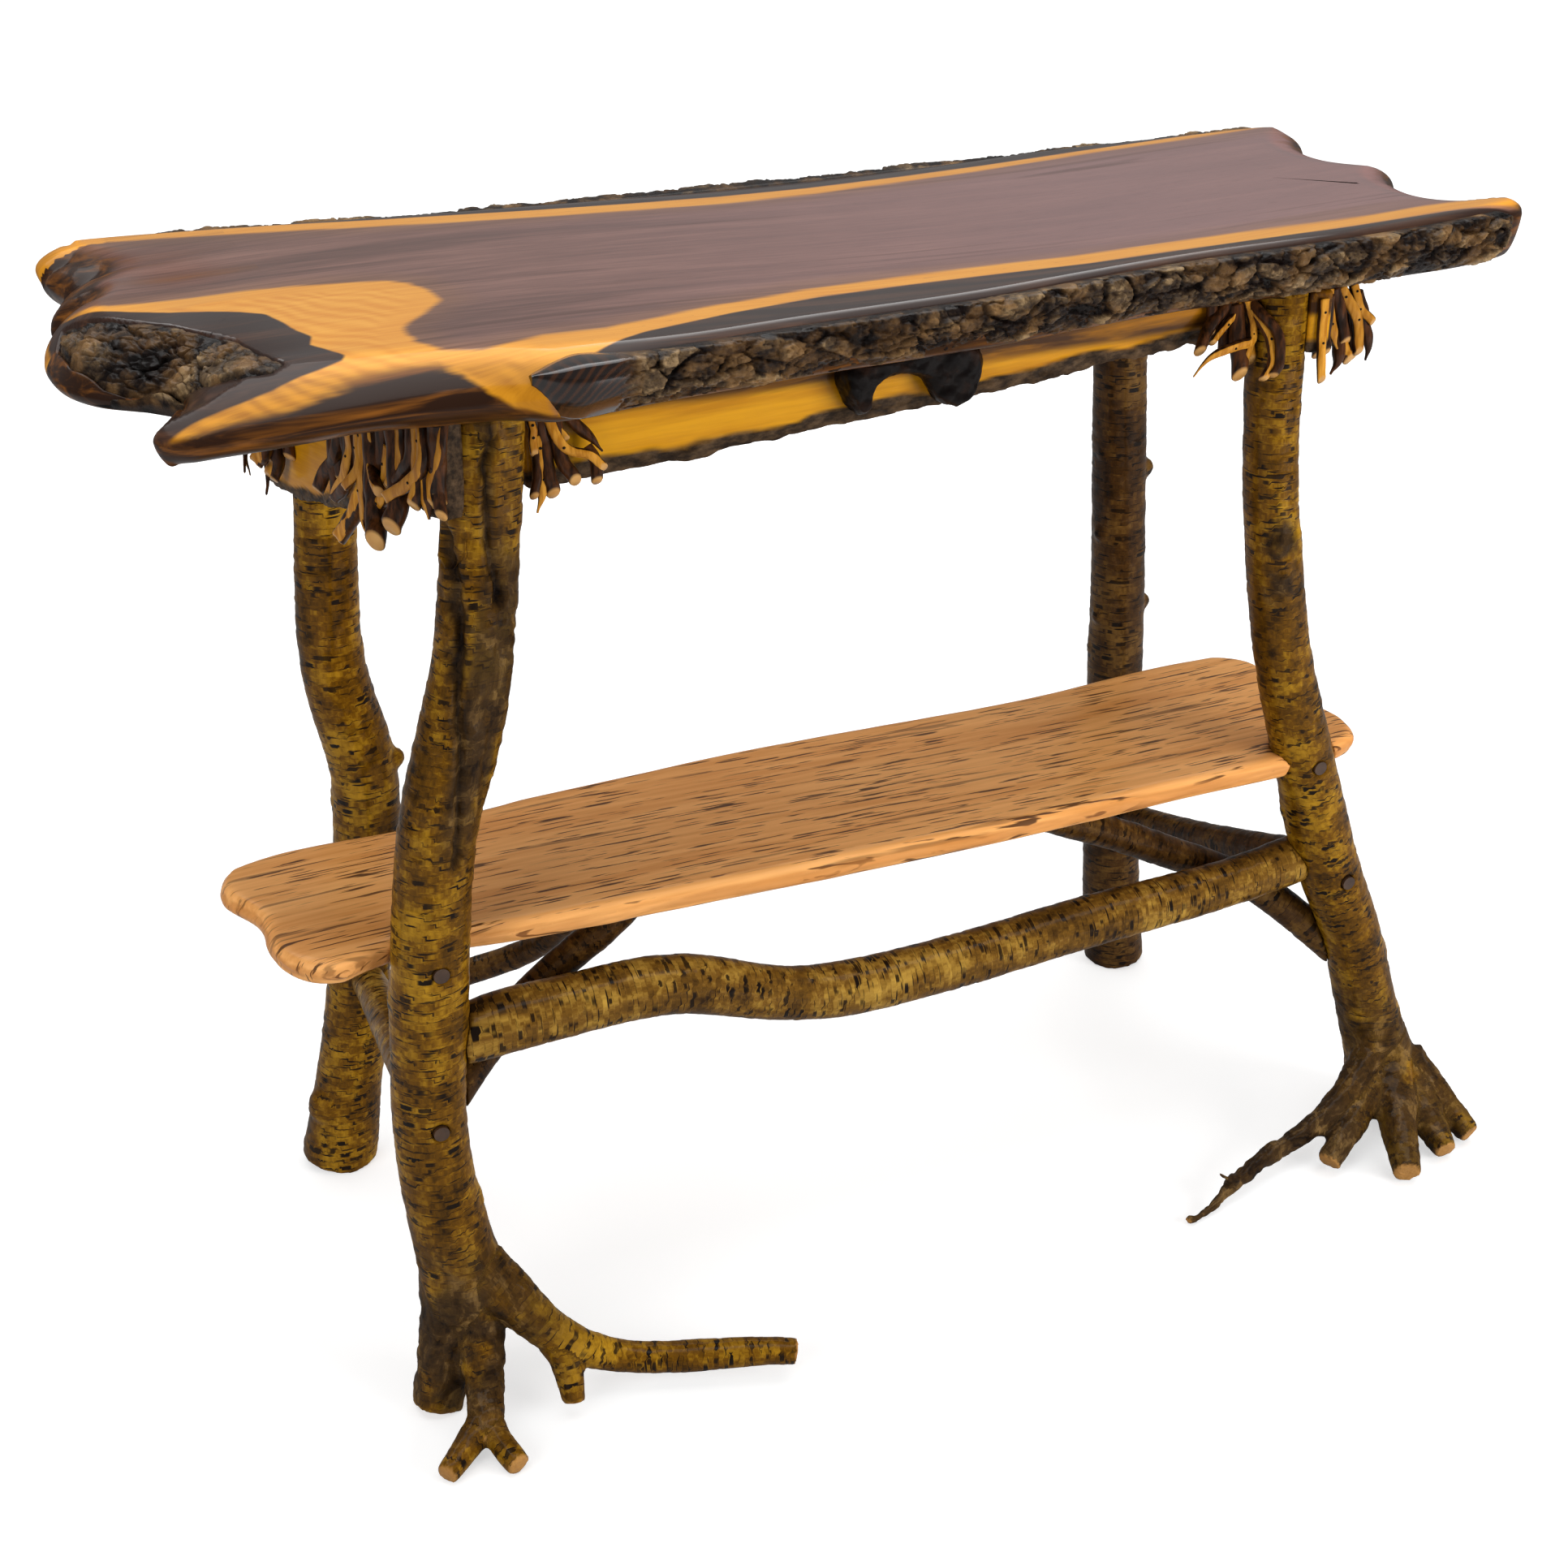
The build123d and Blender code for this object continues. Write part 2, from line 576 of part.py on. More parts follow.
# ------------------------------------------------------------------ assembly
def main():
    """Build every sub-part and write it."""
    up = (0, 0, 1)
    backwards = (0, 1, 0)
    forwards = (0, -1, 0)

    # logs, and the same logs a little larger, which cut whatever meets them
    trunks = {
        "front_left_leg": with_top(front_left_top, front_leg_y, front_left_trunk),
        "front_right_leg": with_top(front_right_top, front_leg_y, front_right_trunk),
        "back_left_leg": with_top(back_left_top, back_leg_y, back_left_trunk),
        "back_right_leg": with_top(back_right_top, back_leg_y, back_right_trunk)}
    legs = {
        "front_left_leg": front_left_blank(),
        "front_right_leg": with_knots(leg_blank(front_right_top, front_leg_y, front_right_trunk,
                                                front_right_roots), front_right_knots) + root(root_twig),
        "back_left_leg": with_knots(leg_blank(back_left_top, back_leg_y, back_left_trunk), back_left_knots),
        "back_right_leg": with_knots(leg_blank(back_right_top, back_leg_y, back_right_trunk),
                                     back_right_knots)}
    front_left_seat = front_left_blank(seat_gap)
    front_right_seat = leg_blank(front_right_top, front_leg_y, front_right_trunk, grow=seat_gap)
    back_left_seat = leg_blank(back_left_top, back_leg_y, back_left_trunk, grow=seat_gap)
    back_right_seat = leg_blank(back_right_top, back_leg_y, back_right_trunk, grow=seat_gap)

    # aprons
    left_plane, left_span = side_plane(front_left_top, front_leg_y, back_left_top, back_leg_y, -1)
    right_plane, right_span = side_plane(back_right_top, back_leg_y, front_right_top, front_leg_y, 1)
    left_apron = left_plane.location * live_edge_board(
        left_span + 2 * apron_overhang, left_apron_depths, apron_thickness)
    right_apron = right_plane.location * live_edge_board(
        right_span + 2 * apron_overhang, right_apron_depths, apron_thickness)
    back_apron = live_edge_board(back_right_top[0] - back_left_top[0], back_apron_depths, apron_thickness)
    back_apron = Pos(back_left_top[0], back_leg_y - apron_thickness / 2, 0) * back_apron
    back_apron -= back_left_seat
    back_apron -= back_right_seat
    for name in ("front_left_leg", "back_left_leg"):
        legs[name] -= left_apron
    for name in ("front_right_leg", "back_right_leg"):
        legs[name] -= right_apron

    # apron screws
    apron_screws = []
    for plane, span, board_legs in ((left_plane, left_span, ("front_left_leg", "back_left_leg")),
                                    (right_plane, right_span, ("front_right_leg", "back_right_leg"))):
        places, inwards = apron_screw_places(plane, span)
        bores = [screw(place, inwards, apron_screw_length, grow=bore_fit) for place in places]
        apron_screws += [screw(place, inwards, apron_screw_length) for place in places]
        for bore in bores:
            for name in board_legs:
                legs[name] -= bore
        for bore in bores:
            if plane is left_plane:
                left_apron -= bore
            else:
                right_apron -= bore

    # slab, bark and the dowels that hold the slab on the legs
    slab = slab_blank()
    slab -= crotch_bark_blank(-crotch_bark_thickness * 4) + crotch_bark_blank(crotch_bark_thickness)
    crotch_bark = crotch_bark_blank(crotch_bark_thickness) & slab_blank()
    front_bark = bark_strip(front_wood_edge, -1, slab)
    back_bark = bark_strip(list(reversed(back_wood_edge)), 1, slab)
    top_dowels = []
    for name, trunk in trunks.items():
        x, y = trunk[0][:2]
        if name.startswith("back"):
            y -= back_dowel_inset
        place = (x, y, slab_underside - top_dowel_length / 2)
        top_dowels.append(pin(place, up, top_dowel_radius, top_dowel_length))
        bore_place = (x, y, slab_underside - top_dowel_length / 2 - bore_fit)
        bore = pin(bore_place, up, top_dowel_radius + bore_fit, top_dowel_length + 2 * bore_fit)
        slab -= bore
        legs[name] -= bore

    # shelf, stretchers and braces
    shelf = shelf_blank() - front_left_seat - front_right_seat
    front_stretcher = coped(front_stretcher_route, front_left_seat, front_right_seat)
    front_stretcher_seat = log(front_stretcher_route, seat_gap)
    left_stretcher = coped(left_stretcher_route, front_left_seat, back_left_seat, front_stretcher_seat)
    right_stretcher = coped(right_stretcher_route, front_right_seat, back_right_seat, front_stretcher_seat)
    left_brace = brace(left_brace_route, front_left_seat, log(left_stretcher_route, seat_gap))
    right_brace = brace(right_brace_route, front_right_seat)
    back_brace = brace(back_brace_route, back_left_seat)

    # dowels in the ends of the front stretcher
    stretcher_dowels = []
    for end, inner, leg in ((0, 1, "front_left_leg"), (-1, -2, "front_right_leg")):
        start = Vector(*front_stretcher_route[end][:3])
        direction = (Vector(*front_stretcher_route[inner][:3]) - start).normalized()
        stretcher_dowels.append(pin(start, direction, stretcher_dowel_radius, stretcher_dowel_length))
        bore = pin(start - direction * bore_fit, direction, stretcher_dowel_radius + bore_fit,
                   stretcher_dowel_length + 2 * bore_fit)
        legs[leg] -= bore
        front_stretcher -= bore

    # screws from the outside of the legs into the shelf and the side stretchers, under plugs
    leg_screws = []
    leg_plugs = []
    shelf_middle = shelf_base + shelf_thickness / 2
    screwed = {"shelf": shelf, "left": left_stretcher, "right": right_stretcher}
    for name, height, towards, target in (
            ("front_left_leg", shelf_middle, backwards, "shelf"),
            ("front_right_leg", shelf_middle, backwards, "shelf"),
            ("front_left_leg", left_stretcher_screw_height, backwards, "left"),
            ("front_right_leg", right_stretcher_screw_height, backwards, "right"),
            ("back_left_leg", back_left_screw_height, forwards, "left"),
            ("back_right_leg", back_right_screw_height, forwards, "right")):
        x, y, z, radius = at_height(trunks[name], height)
        mouth = (x, y - towards[1] * radius, z)
        seat = (x, mouth[1] + towards[1] * plug_length, z)
        leg_plugs.append(pin(mouth, towards, plug_radius, plug_length - seat_gap))
        legs[name] -= pin((x, mouth[1] - towards[1] * plug_length, z), towards, plug_radius + bore_fit,
                          2 * plug_length)
        leg_screws.append(screw(seat, towards, leg_screw_length))
        bore = screw(seat, towards, leg_screw_length, grow=bore_fit)
        legs[name] -= bore
        screwed[target] -= bore

    # drawer
    drawer_front = drawer_front_board()
    drawer_pull = burl_pull()
    pull_screws = []
    for x, z in pull_screw_places:
        place = (x, drawer_front_back_y, slab_underside + z)
        length = drawer_front_thickness + pull_screw_bite
        pull_screws.append(screw(place, forwards, length, pull_screw_radius))
        bore = screw(place, forwards, length + bore_fit, pull_screw_radius, bore_fit)
        drawer_front -= bore
        drawer_pull -= bore

    # runners
    left_runner = runner(drawer_box_left, 1)
    right_runner = runner(drawer_box_right, -1)
    runner_screws = []
    for side_x, inward in ((drawer_box_left, 1), (drawer_box_right, -1)):
        for place in runner_screw_places(side_x, inward):
            runner_screws.append(screw(place, up, runner_screw_length))
            bore = screw(place, up, runner_screw_length + bore_fit, grow=bore_fit)
            slab -= bore
            left_runner -= bore
            right_runner -= bore

    # twigs
    left_face = outer_face(left_plane)
    right_face = outer_face(right_plane)
    front_face = Plane(origin=(drawer_front_right, drawer_front_face_y, 0), x_dir=(-1, 0, 0), z_dir=up)
    left_length = left_span + 2 * apron_overhang
    right_length = right_span + 2 * apron_overhang
    front_length = drawer_front_right - drawer_front_left
    twig_rows = {
        "front_left_twigs": (left_face, left_side_twigs, twig_end_inset, left_side_twig_pitch,
                             left_side_twig_length),
        "back_left_twigs": (left_face, back_twigs, left_length - twig_end_inset - (back_twigs - 1) * back_twig_pitch,
                            back_twig_pitch, back_left_twig_length),
        "back_right_twigs": (right_face, back_twigs, twig_end_inset, back_twig_pitch, back_right_twig_length),
        "front_right_twigs": (right_face, right_side_twigs,
                              right_length - twig_end_inset - (right_side_twigs - 1) * right_side_twig_pitch,
                              right_side_twig_pitch, right_side_twig_length),
        "drawer_right_twigs": (front_face, drawer_twigs, twig_end_inset, drawer_twig_pitch,
                               right_drawer_twig_length),
        "drawer_left_twigs": (front_face, drawer_twigs,
                              front_length - twig_end_inset - (drawer_twigs - 1) * drawer_twig_pitch,
                              drawer_twig_pitch, left_drawer_twig_length)}

    for name, leg in legs.items():
        write(name, leg)
    twig_seats = {"front_left_twigs": front_left_seat, "back_left_twigs": back_left_seat,
                  "front_right_twigs": front_right_seat, "back_right_twigs": back_right_seat}
    for name, row in twig_rows.items():
        twigs = twig_row(*row)
        if name in twig_seats:
            twigs = group(twig - twig_seats[name] for twig in twigs.solids())
        write(name, twigs)
    for name, shape in {
            "top_slab": slab, "slab_front_bark": front_bark, "slab_back_bark": back_bark,
            "slab_crotch_bark": crotch_bark, "left_apron": left_apron, "right_apron": right_apron,
            "back_apron": back_apron, "lower_shelf": screwed["shelf"], "front_stretcher": front_stretcher,
            "left_stretcher": screwed["left"], "right_stretcher": screwed["right"],
            "left_brace": left_brace, "right_brace": right_brace, "back_brace": back_brace,
            "drawer_front": drawer_front, "drawer_left_side": drawer_side(drawer_box_left, 1),
            "drawer_right_side": drawer_side(drawer_box_right, -1), "drawer_back": drawer_back_board(),
            "drawer_bottom": drawer_bottom_panel(), "drawer_pull": drawer_pull,
            "left_runner": left_runner, "right_runner": right_runner,
            "drawer_stops": drawer_stop_blocks()}.items():
        write(name, shape)
    for name, shapes in {
            "top_dowels": top_dowels, "stretcher_dowels": stretcher_dowels, "leg_screws": leg_screws,
            "leg_plugs": leg_plugs, "apron_screws": apron_screws, "runner_screws": runner_screws,
            "pull_screws": pull_screws}.items():
        write(name, group(shapes))


if __name__ == "__main__":
    main()
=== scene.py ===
"""Looks of the rustic console table: walnut slab, branch legs, twigs and boards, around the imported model.

Lengths are in metres, with Z up and the front of the table towards -Y. Routes and outlines that follow
the solids are written in millimetres and turned into metres where they are used.
"""
import bpy
import numpy as np
from math import radians, tau
from mathutils import Euler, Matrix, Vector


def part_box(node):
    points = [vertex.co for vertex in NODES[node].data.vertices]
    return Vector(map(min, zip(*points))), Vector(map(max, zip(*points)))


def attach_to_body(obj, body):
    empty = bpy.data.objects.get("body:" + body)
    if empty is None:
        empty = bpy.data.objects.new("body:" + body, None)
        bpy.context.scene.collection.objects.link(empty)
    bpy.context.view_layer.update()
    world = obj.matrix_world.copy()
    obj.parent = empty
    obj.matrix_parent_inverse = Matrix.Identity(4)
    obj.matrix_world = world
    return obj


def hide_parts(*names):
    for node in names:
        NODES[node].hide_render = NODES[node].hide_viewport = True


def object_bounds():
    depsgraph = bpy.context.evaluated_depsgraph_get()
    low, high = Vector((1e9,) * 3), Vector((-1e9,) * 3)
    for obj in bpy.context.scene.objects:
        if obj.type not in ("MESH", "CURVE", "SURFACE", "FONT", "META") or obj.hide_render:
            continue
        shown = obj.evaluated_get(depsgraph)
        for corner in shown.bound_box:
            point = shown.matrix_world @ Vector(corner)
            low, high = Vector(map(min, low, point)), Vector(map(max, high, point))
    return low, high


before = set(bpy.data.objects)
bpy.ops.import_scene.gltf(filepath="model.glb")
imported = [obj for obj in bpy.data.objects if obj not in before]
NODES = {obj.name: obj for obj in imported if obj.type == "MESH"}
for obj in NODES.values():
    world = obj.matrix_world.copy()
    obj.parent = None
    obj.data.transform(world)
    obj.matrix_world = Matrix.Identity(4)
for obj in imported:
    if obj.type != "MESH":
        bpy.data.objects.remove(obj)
cad_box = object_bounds()
MM = 0.001
CHUNK = 2500                    # points that are set against a line at a time, to spare memory

# ------------------------------------------------------------------ sizes shared with the solids
TABLE_TOP = 0.840
SLAB_UNDERSIDE = 0.794
FLOOR_GAP = 0.0002              # the lowest that the wood of a leg comes to the floor

# Edge of the wood: x, y, how far the underside lies inside it, and how wide and how deep the top rolls over.
SLAB_EDGE = [
    (-262, -200, 20, 34, 17), (-190, -193, 22, 14, 13), (-105, -186, 24, 12, 13), (20, -180, 26, 11, 13),
    (120, -167, 24, 11, 13), (220, -155, 22, 11, 13), (330, -150, 18, 11, 13), (440, -141, 16, 11, 13),
    (535, -124, 12, 16, 13), (559, -103, 7, 24, 12), (546, -83, 8, 36, 18), (513, -62, 8, 46, 22),
    (516, -10, 8, 44, 20), (541, 38, 8, 38, 17), (524, 82, 8, 46, 22), (528, 130, 8, 46, 20),
    (553, 180, 9, 38, 17), (540, 214, 10, 20, 12), (440, 209, 12, 11, 9), (300, 207, 12, 13, 9),
    (200, 205, 12, 32, 10), (90, 204, 12, 46, 12), (-20, 204, 12, 44, 12), (-110, 206, 12, 30, 10),
    (-260, 213, 12, 14, 9), (-390, 230, 12, 13, 9), (-484, 248, 14, 20, 10), (-514, 252, 24, 36, 12),
    (-539, 226, 36, 50, 15), (-538, 194, 30, 58, 20), (-530, 163, 24, 60, 26), (-540, 136, 20, 56, 29),
    (-549, 110, 14, 50, 30), (-546, 96, 8, 46, 34), (-556, 80, 7, 44, 36), (-563, 52, 7, 44, 37),
    (-565, 22, 8, 46, 37), (-561, -10, 8, 46, 37), (-547, -36, 8, 46, 37), (-524, -56, 7, 46, 38),
    (-500, -78, 6, 44, 36), (-503, -112, 6, 60, 32), (-517, -140, 6, 90, 31), (-532, -166, 10, 95, 29),
    (-516, -181, 24, 90, 31), (-488, -186, 34, 76, 29), (-440, -187, 38, 64, 28), (-385, -186, 40, 56, 27),
    (-330, -191, 36, 50, 26), (-293, -203, 28, 42, 23)]


# ------------------------------------------------------------------ noise on whole arrays of points
def lattice(cells, seed):
    """Random number from 0 to 1 for each whole-number cell: its indices multiplied and mixed bit by bit."""
    mixed = (cells[..., 0] * 73856093) ^ (cells[..., 1] * 19349663) ^ (cells[..., 2] * 83492791)
    mixed = mixed ^ (seed * 2654435)
    mixed = (mixed ^ (mixed >> 13)) * 1274126177
    mixed = mixed & 0x7FFFFFFF
    mixed = (mixed ^ (mixed >> 15)) * 668265263
    return ((mixed >> 5) & 0xFFFFFF) / float(0xFFFFFF)


def noise(points, size, seed=0):
    """Smooth noise from -1 to 1: random numbers on a grid of the given size, blended between its corners."""
    scaled = points / np.asarray(size, float)
    base = np.floor(scaled).astype(np.int64)
    part = scaled - base
    part = part * part * (3 - 2 * part)
    total = 0
    for corner in np.ndindex(2, 2, 2):
        weight = 1
        for axis, side in enumerate(corner):
            weight = weight * (part[..., axis] if side else 1 - part[..., axis])
        total = total + weight * lattice(base + np.array(corner), seed)
    return total * 2 - 1


def fractal(points, size, octaves, seed=0, gain=0.5):
    """Noise summed over octaves, each half the size and gain times the height of the one before."""
    total = 0
    height = 1.0
    for octave in range(octaves):
        total = total + height * noise(points, np.asarray(size, float) / 2 ** octave, seed + octave * 7)
        height *= gain
    return total


def plates(points, size, seed=0):
    """Cracked plates: distance from each point to the nearest and second nearest scattered centre, and a
    random number for the nearest."""
    scaled = points / np.asarray(size, float)
    base = np.floor(scaled).astype(np.int64)
    nearest = np.full(points.shape[:-1], 9.0)
    second = np.full(points.shape[:-1], 9.0)
    owner = np.zeros(points.shape[:-1])
    for step in np.ndindex(3, 3, 3):
        cell = base + np.array(step) - 1
        centre = cell + np.stack([lattice(cell, seed + axis) for axis in range(3)], axis=-1)
        away = np.linalg.norm(scaled - centre, axis=-1)
        closer = away < nearest
        second = np.where(closer, nearest, np.minimum(second, away))
        owner = np.where(closer, lattice(cell, seed + 5), owner)
        nearest = np.where(closer, away, nearest)
    return nearest, second, owner


def ease(value, low, high):
    """0 below low and 1 above high, with a cubic between."""
    share = np.clip((value - low) / (high - low), 0, 1)
    return share * share * (3 - 2 * share)


# ------------------------------------------------------------------ lines and surfaces
def smooth_line(stations, steps, closed=False):
    """Rows on a curve through the stations: each span is a cubic of its two ends and their neighbours."""
    rows = np.asarray(stations, float)
    spans = len(rows) if closed else len(rows) - 1
    share = np.linspace(0, spans, steps, endpoint=not closed)
    span = np.minimum(share.astype(int), spans - 1)
    part = (share - span)[:, None]
    if closed:
        before, start, end, after = (rows[(span + shift) % len(rows)] for shift in (-1, 0, 1, 2))
    else:
        padded = np.vstack([2 * rows[0] - rows[1], rows, 2 * rows[-1] - rows[-2]])
        before, start, end, after = (padded[span + shift] for shift in (0, 1, 2, 3))
    return 0.5 * (2 * start + (end - before) * part + (2 * before - 5 * start + 4 * end - after) * part ** 2
                  + (3 * start - before - 3 * end + after) * part ** 3)


def evenly(rows, count, columns=3):
    """The same line with its rows evenly spaced by length."""
    steps = np.linalg.norm(np.diff(rows[:, :columns], axis=0), axis=1)
    length = np.concatenate([[0], np.cumsum(steps)])
    places = np.linspace(0, length[-1], count)
    return np.stack([np.interp(places, length, rows[:, k]) for k in range(rows.shape[1])], axis=1)


def line_length(line):
    """Sum of the lengths of a line's runs."""
    return np.linalg.norm(np.diff(line[:, :3], axis=0), axis=1).sum()


def line_distance(points, line, closed=False):
    """Distance from each point in the plane to a line of straight runs, and the sign of its side."""
    line = np.asarray(line, float)
    ends = np.roll(line, -1, axis=0) if closed else line[1:]
    starts = line if closed else line[:-1]
    best = np.full(points.shape[0], 1e9)
    sign = np.ones(points.shape[0])
    for start, end in zip(starts, ends):
        run = end - start
        share = np.clip(((points - start) @ run) / (run @ run), 0, 1)
        offset = points - start - share[:, None] * run
        away = np.hypot(offset[:, 0], offset[:, 1])
        side = run[0] * (points[:, 1] - start[1]) - run[1] * (points[:, 0] - start[0])
        closer = away < best
        best = np.where(closer, away, best)
        sign = np.where(closer, np.sign(side), sign)
    return best, sign


def inside(points, outline):
    """True for points within a closed outline: an odd number of its runs lies to their right."""
    outline = np.asarray(outline, float)
    odd = np.zeros(points.shape[0], bool)
    for (x0, y0), (x1, y1) in zip(outline, np.roll(outline, -1, axis=0)):
        if y0 == y1:
            continue
        crosses = (y0 > points[:, 1]) != (y1 > points[:, 1])
        at = x0 + (points[:, 1] - y0) * (x1 - x0) / (y1 - y0)
        odd ^= crosses & (points[:, 0] < at)
    return odd


def outline_depth(points, outline):
    """Distance to a closed outline, positive inside it."""
    away, _ = line_distance(points, outline, closed=True)
    return np.where(inside(points, outline), away, -away)


def frames_along(line):
    """Unit tangents of a line, and two directions across it that turn as little as they can."""
    tangents = np.gradient(line[:, :3], axis=0)
    tangents /= np.linalg.norm(tangents, axis=1)[:, None]
    first = np.cross(tangents[0], (0.31, 0.95, 0.05))
    across = np.empty_like(tangents)
    across[0] = first / np.linalg.norm(first)
    for row in range(1, len(line)):
        turned = across[row - 1] - tangents[row] * (across[row - 1] @ tangents[row])
        across[row] = turned / np.linalg.norm(turned)
    return tangents, across, np.cross(tangents, across)


def sheet_faces(rows, columns, close_columns=False):
    """Four-sided faces between neighbouring points of a grid, also from its last column to its first."""
    last = columns if close_columns else columns - 1
    i, j = np.meshgrid(np.arange(rows - 1), np.arange(last), indexing="ij")
    k = i + 1
    m = (j + 1) % columns
    corners = [i * columns + j, i * columns + m, k * columns + m, k * columns + j]
    return np.stack(corners, axis=-1).reshape(-1, 4)


def build(name, points, faces, caps=(), attributes=None):
    """Mesh object from points, four-sided faces and end caps, with a number or vector for each point."""
    mesh = bpy.data.meshes.new(name)
    points = np.asarray(points, float).reshape(-1, 3)
    mesh.from_pydata(points.tolist(), [], np.asarray(faces).tolist() + list(caps))
    mesh.polygons.foreach_set("use_smooth", np.ones(len(mesh.polygons), bool))
    attach(mesh, attributes or {})
    mesh.update()
    made = bpy.data.objects.new(name, mesh)
    bpy.context.scene.collection.objects.link(made)
    return made


def attach(mesh, attributes):
    """Write numbers or vectors on the points of a mesh, by name."""
    for key, values in attributes.items():
        values = np.asarray(values, float)
        kind = "FLOAT_VECTOR" if values.ndim > 1 else "FLOAT"
        layer = mesh.attributes.new(key, kind, "POINT")
        layer.data.foreach_set("vector" if values.ndim > 1 else "value", values.ravel())


def tube_points(line, angles, radius):
    """Circle carried along a line, with a radius for each row and angle."""
    _, across, up = frames_along(line)
    ring = across[:, None, :] * np.cos(angles)[None, :, None] + up[:, None, :] * np.sin(angles)[None, :, None]
    return line[:, None, :3] + ring * radius[..., None]


def read_points(mesh):
    """Points and point normals of a mesh as arrays."""
    count = len(mesh.vertices)
    points = np.empty(count * 3)
    normals = np.empty(count * 3)
    mesh.vertices.foreach_get("co", points)
    mesh.vertex_normals.foreach_get("vector", normals)
    return points.reshape(-1, 3), normals.reshape(-1, 3)


def skin_of(node, name, voxel, smoothing=6):
    """Even skin over a solid: a merged copy, remeshed into small faces and smoothed."""
    copy = bpy.data.objects.new(name, NODES[node].data.copy())
    copy.data.materials.clear()
    bpy.context.scene.collection.objects.link(copy)
    weld = copy.modifiers.new("weld", "WELD")
    weld.merge_threshold = 0.00002
    remesh = copy.modifiers.new("remesh", "REMESH")
    remesh.mode = "VOXEL"
    remesh.voxel_size = voxel
    soften = copy.modifiers.new("soften", "SMOOTH")
    soften.factor = 0.5
    soften.iterations = smoothing
    graph = bpy.context.evaluated_depsgraph_get()
    mesh = bpy.data.meshes.new_from_object(copy.evaluated_get(graph))
    copy.modifiers.clear()
    copy.data = mesh
    mesh.polygons.foreach_set("use_smooth", np.ones(len(mesh.polygons), bool))
    return copy


def reshape_skin(piece, points, **attributes):
    """Move the points of a skin, and write on them what its look reads."""
    piece.data.vertices.foreach_set("co", points.ravel())
    attach(piece.data, attributes)
    piece.data.update()
    return piece


def finish_piece(piece, nodes, body, look):
    """Let a piece stand for CAD nodes, ride on their body and wear a look."""
    piece.data.materials.clear()
    piece.data.materials.append(look)
    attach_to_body(piece, body)
    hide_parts(*nodes)


# ------------------------------------------------------------------ shader maths
class Value:
    """A number or vector that varies over a surface; sums with it add Math nodes to its look."""

    def __init__(self, look, socket):
        self.look = look
        self.socket = socket

    def maths(self, operation, *values):
        """Number that a Math node of this value's look gives."""
        return self.look.maths(operation, *values)

    def __add__(self, other):
        return self.maths("ADD", self, other)

    def __sub__(self, other):
        return self.maths("SUBTRACT", self, other)

    def __rsub__(self, other):
        return self.maths("SUBTRACT", other, self)

    def __mul__(self, other):
        return self.maths("MULTIPLY", self, other)

    __radd__ = __add__
    __rmul__ = __mul__

    def band(self, low, high):
        """0 at low and 1 at high, eased between, also where low is above high."""
        return self.look.node("ShaderNodeMapRange", {"interpolation_type": "SMOOTHSTEP"},
                              {"Value": self, "From Min": low, "From Max": high})


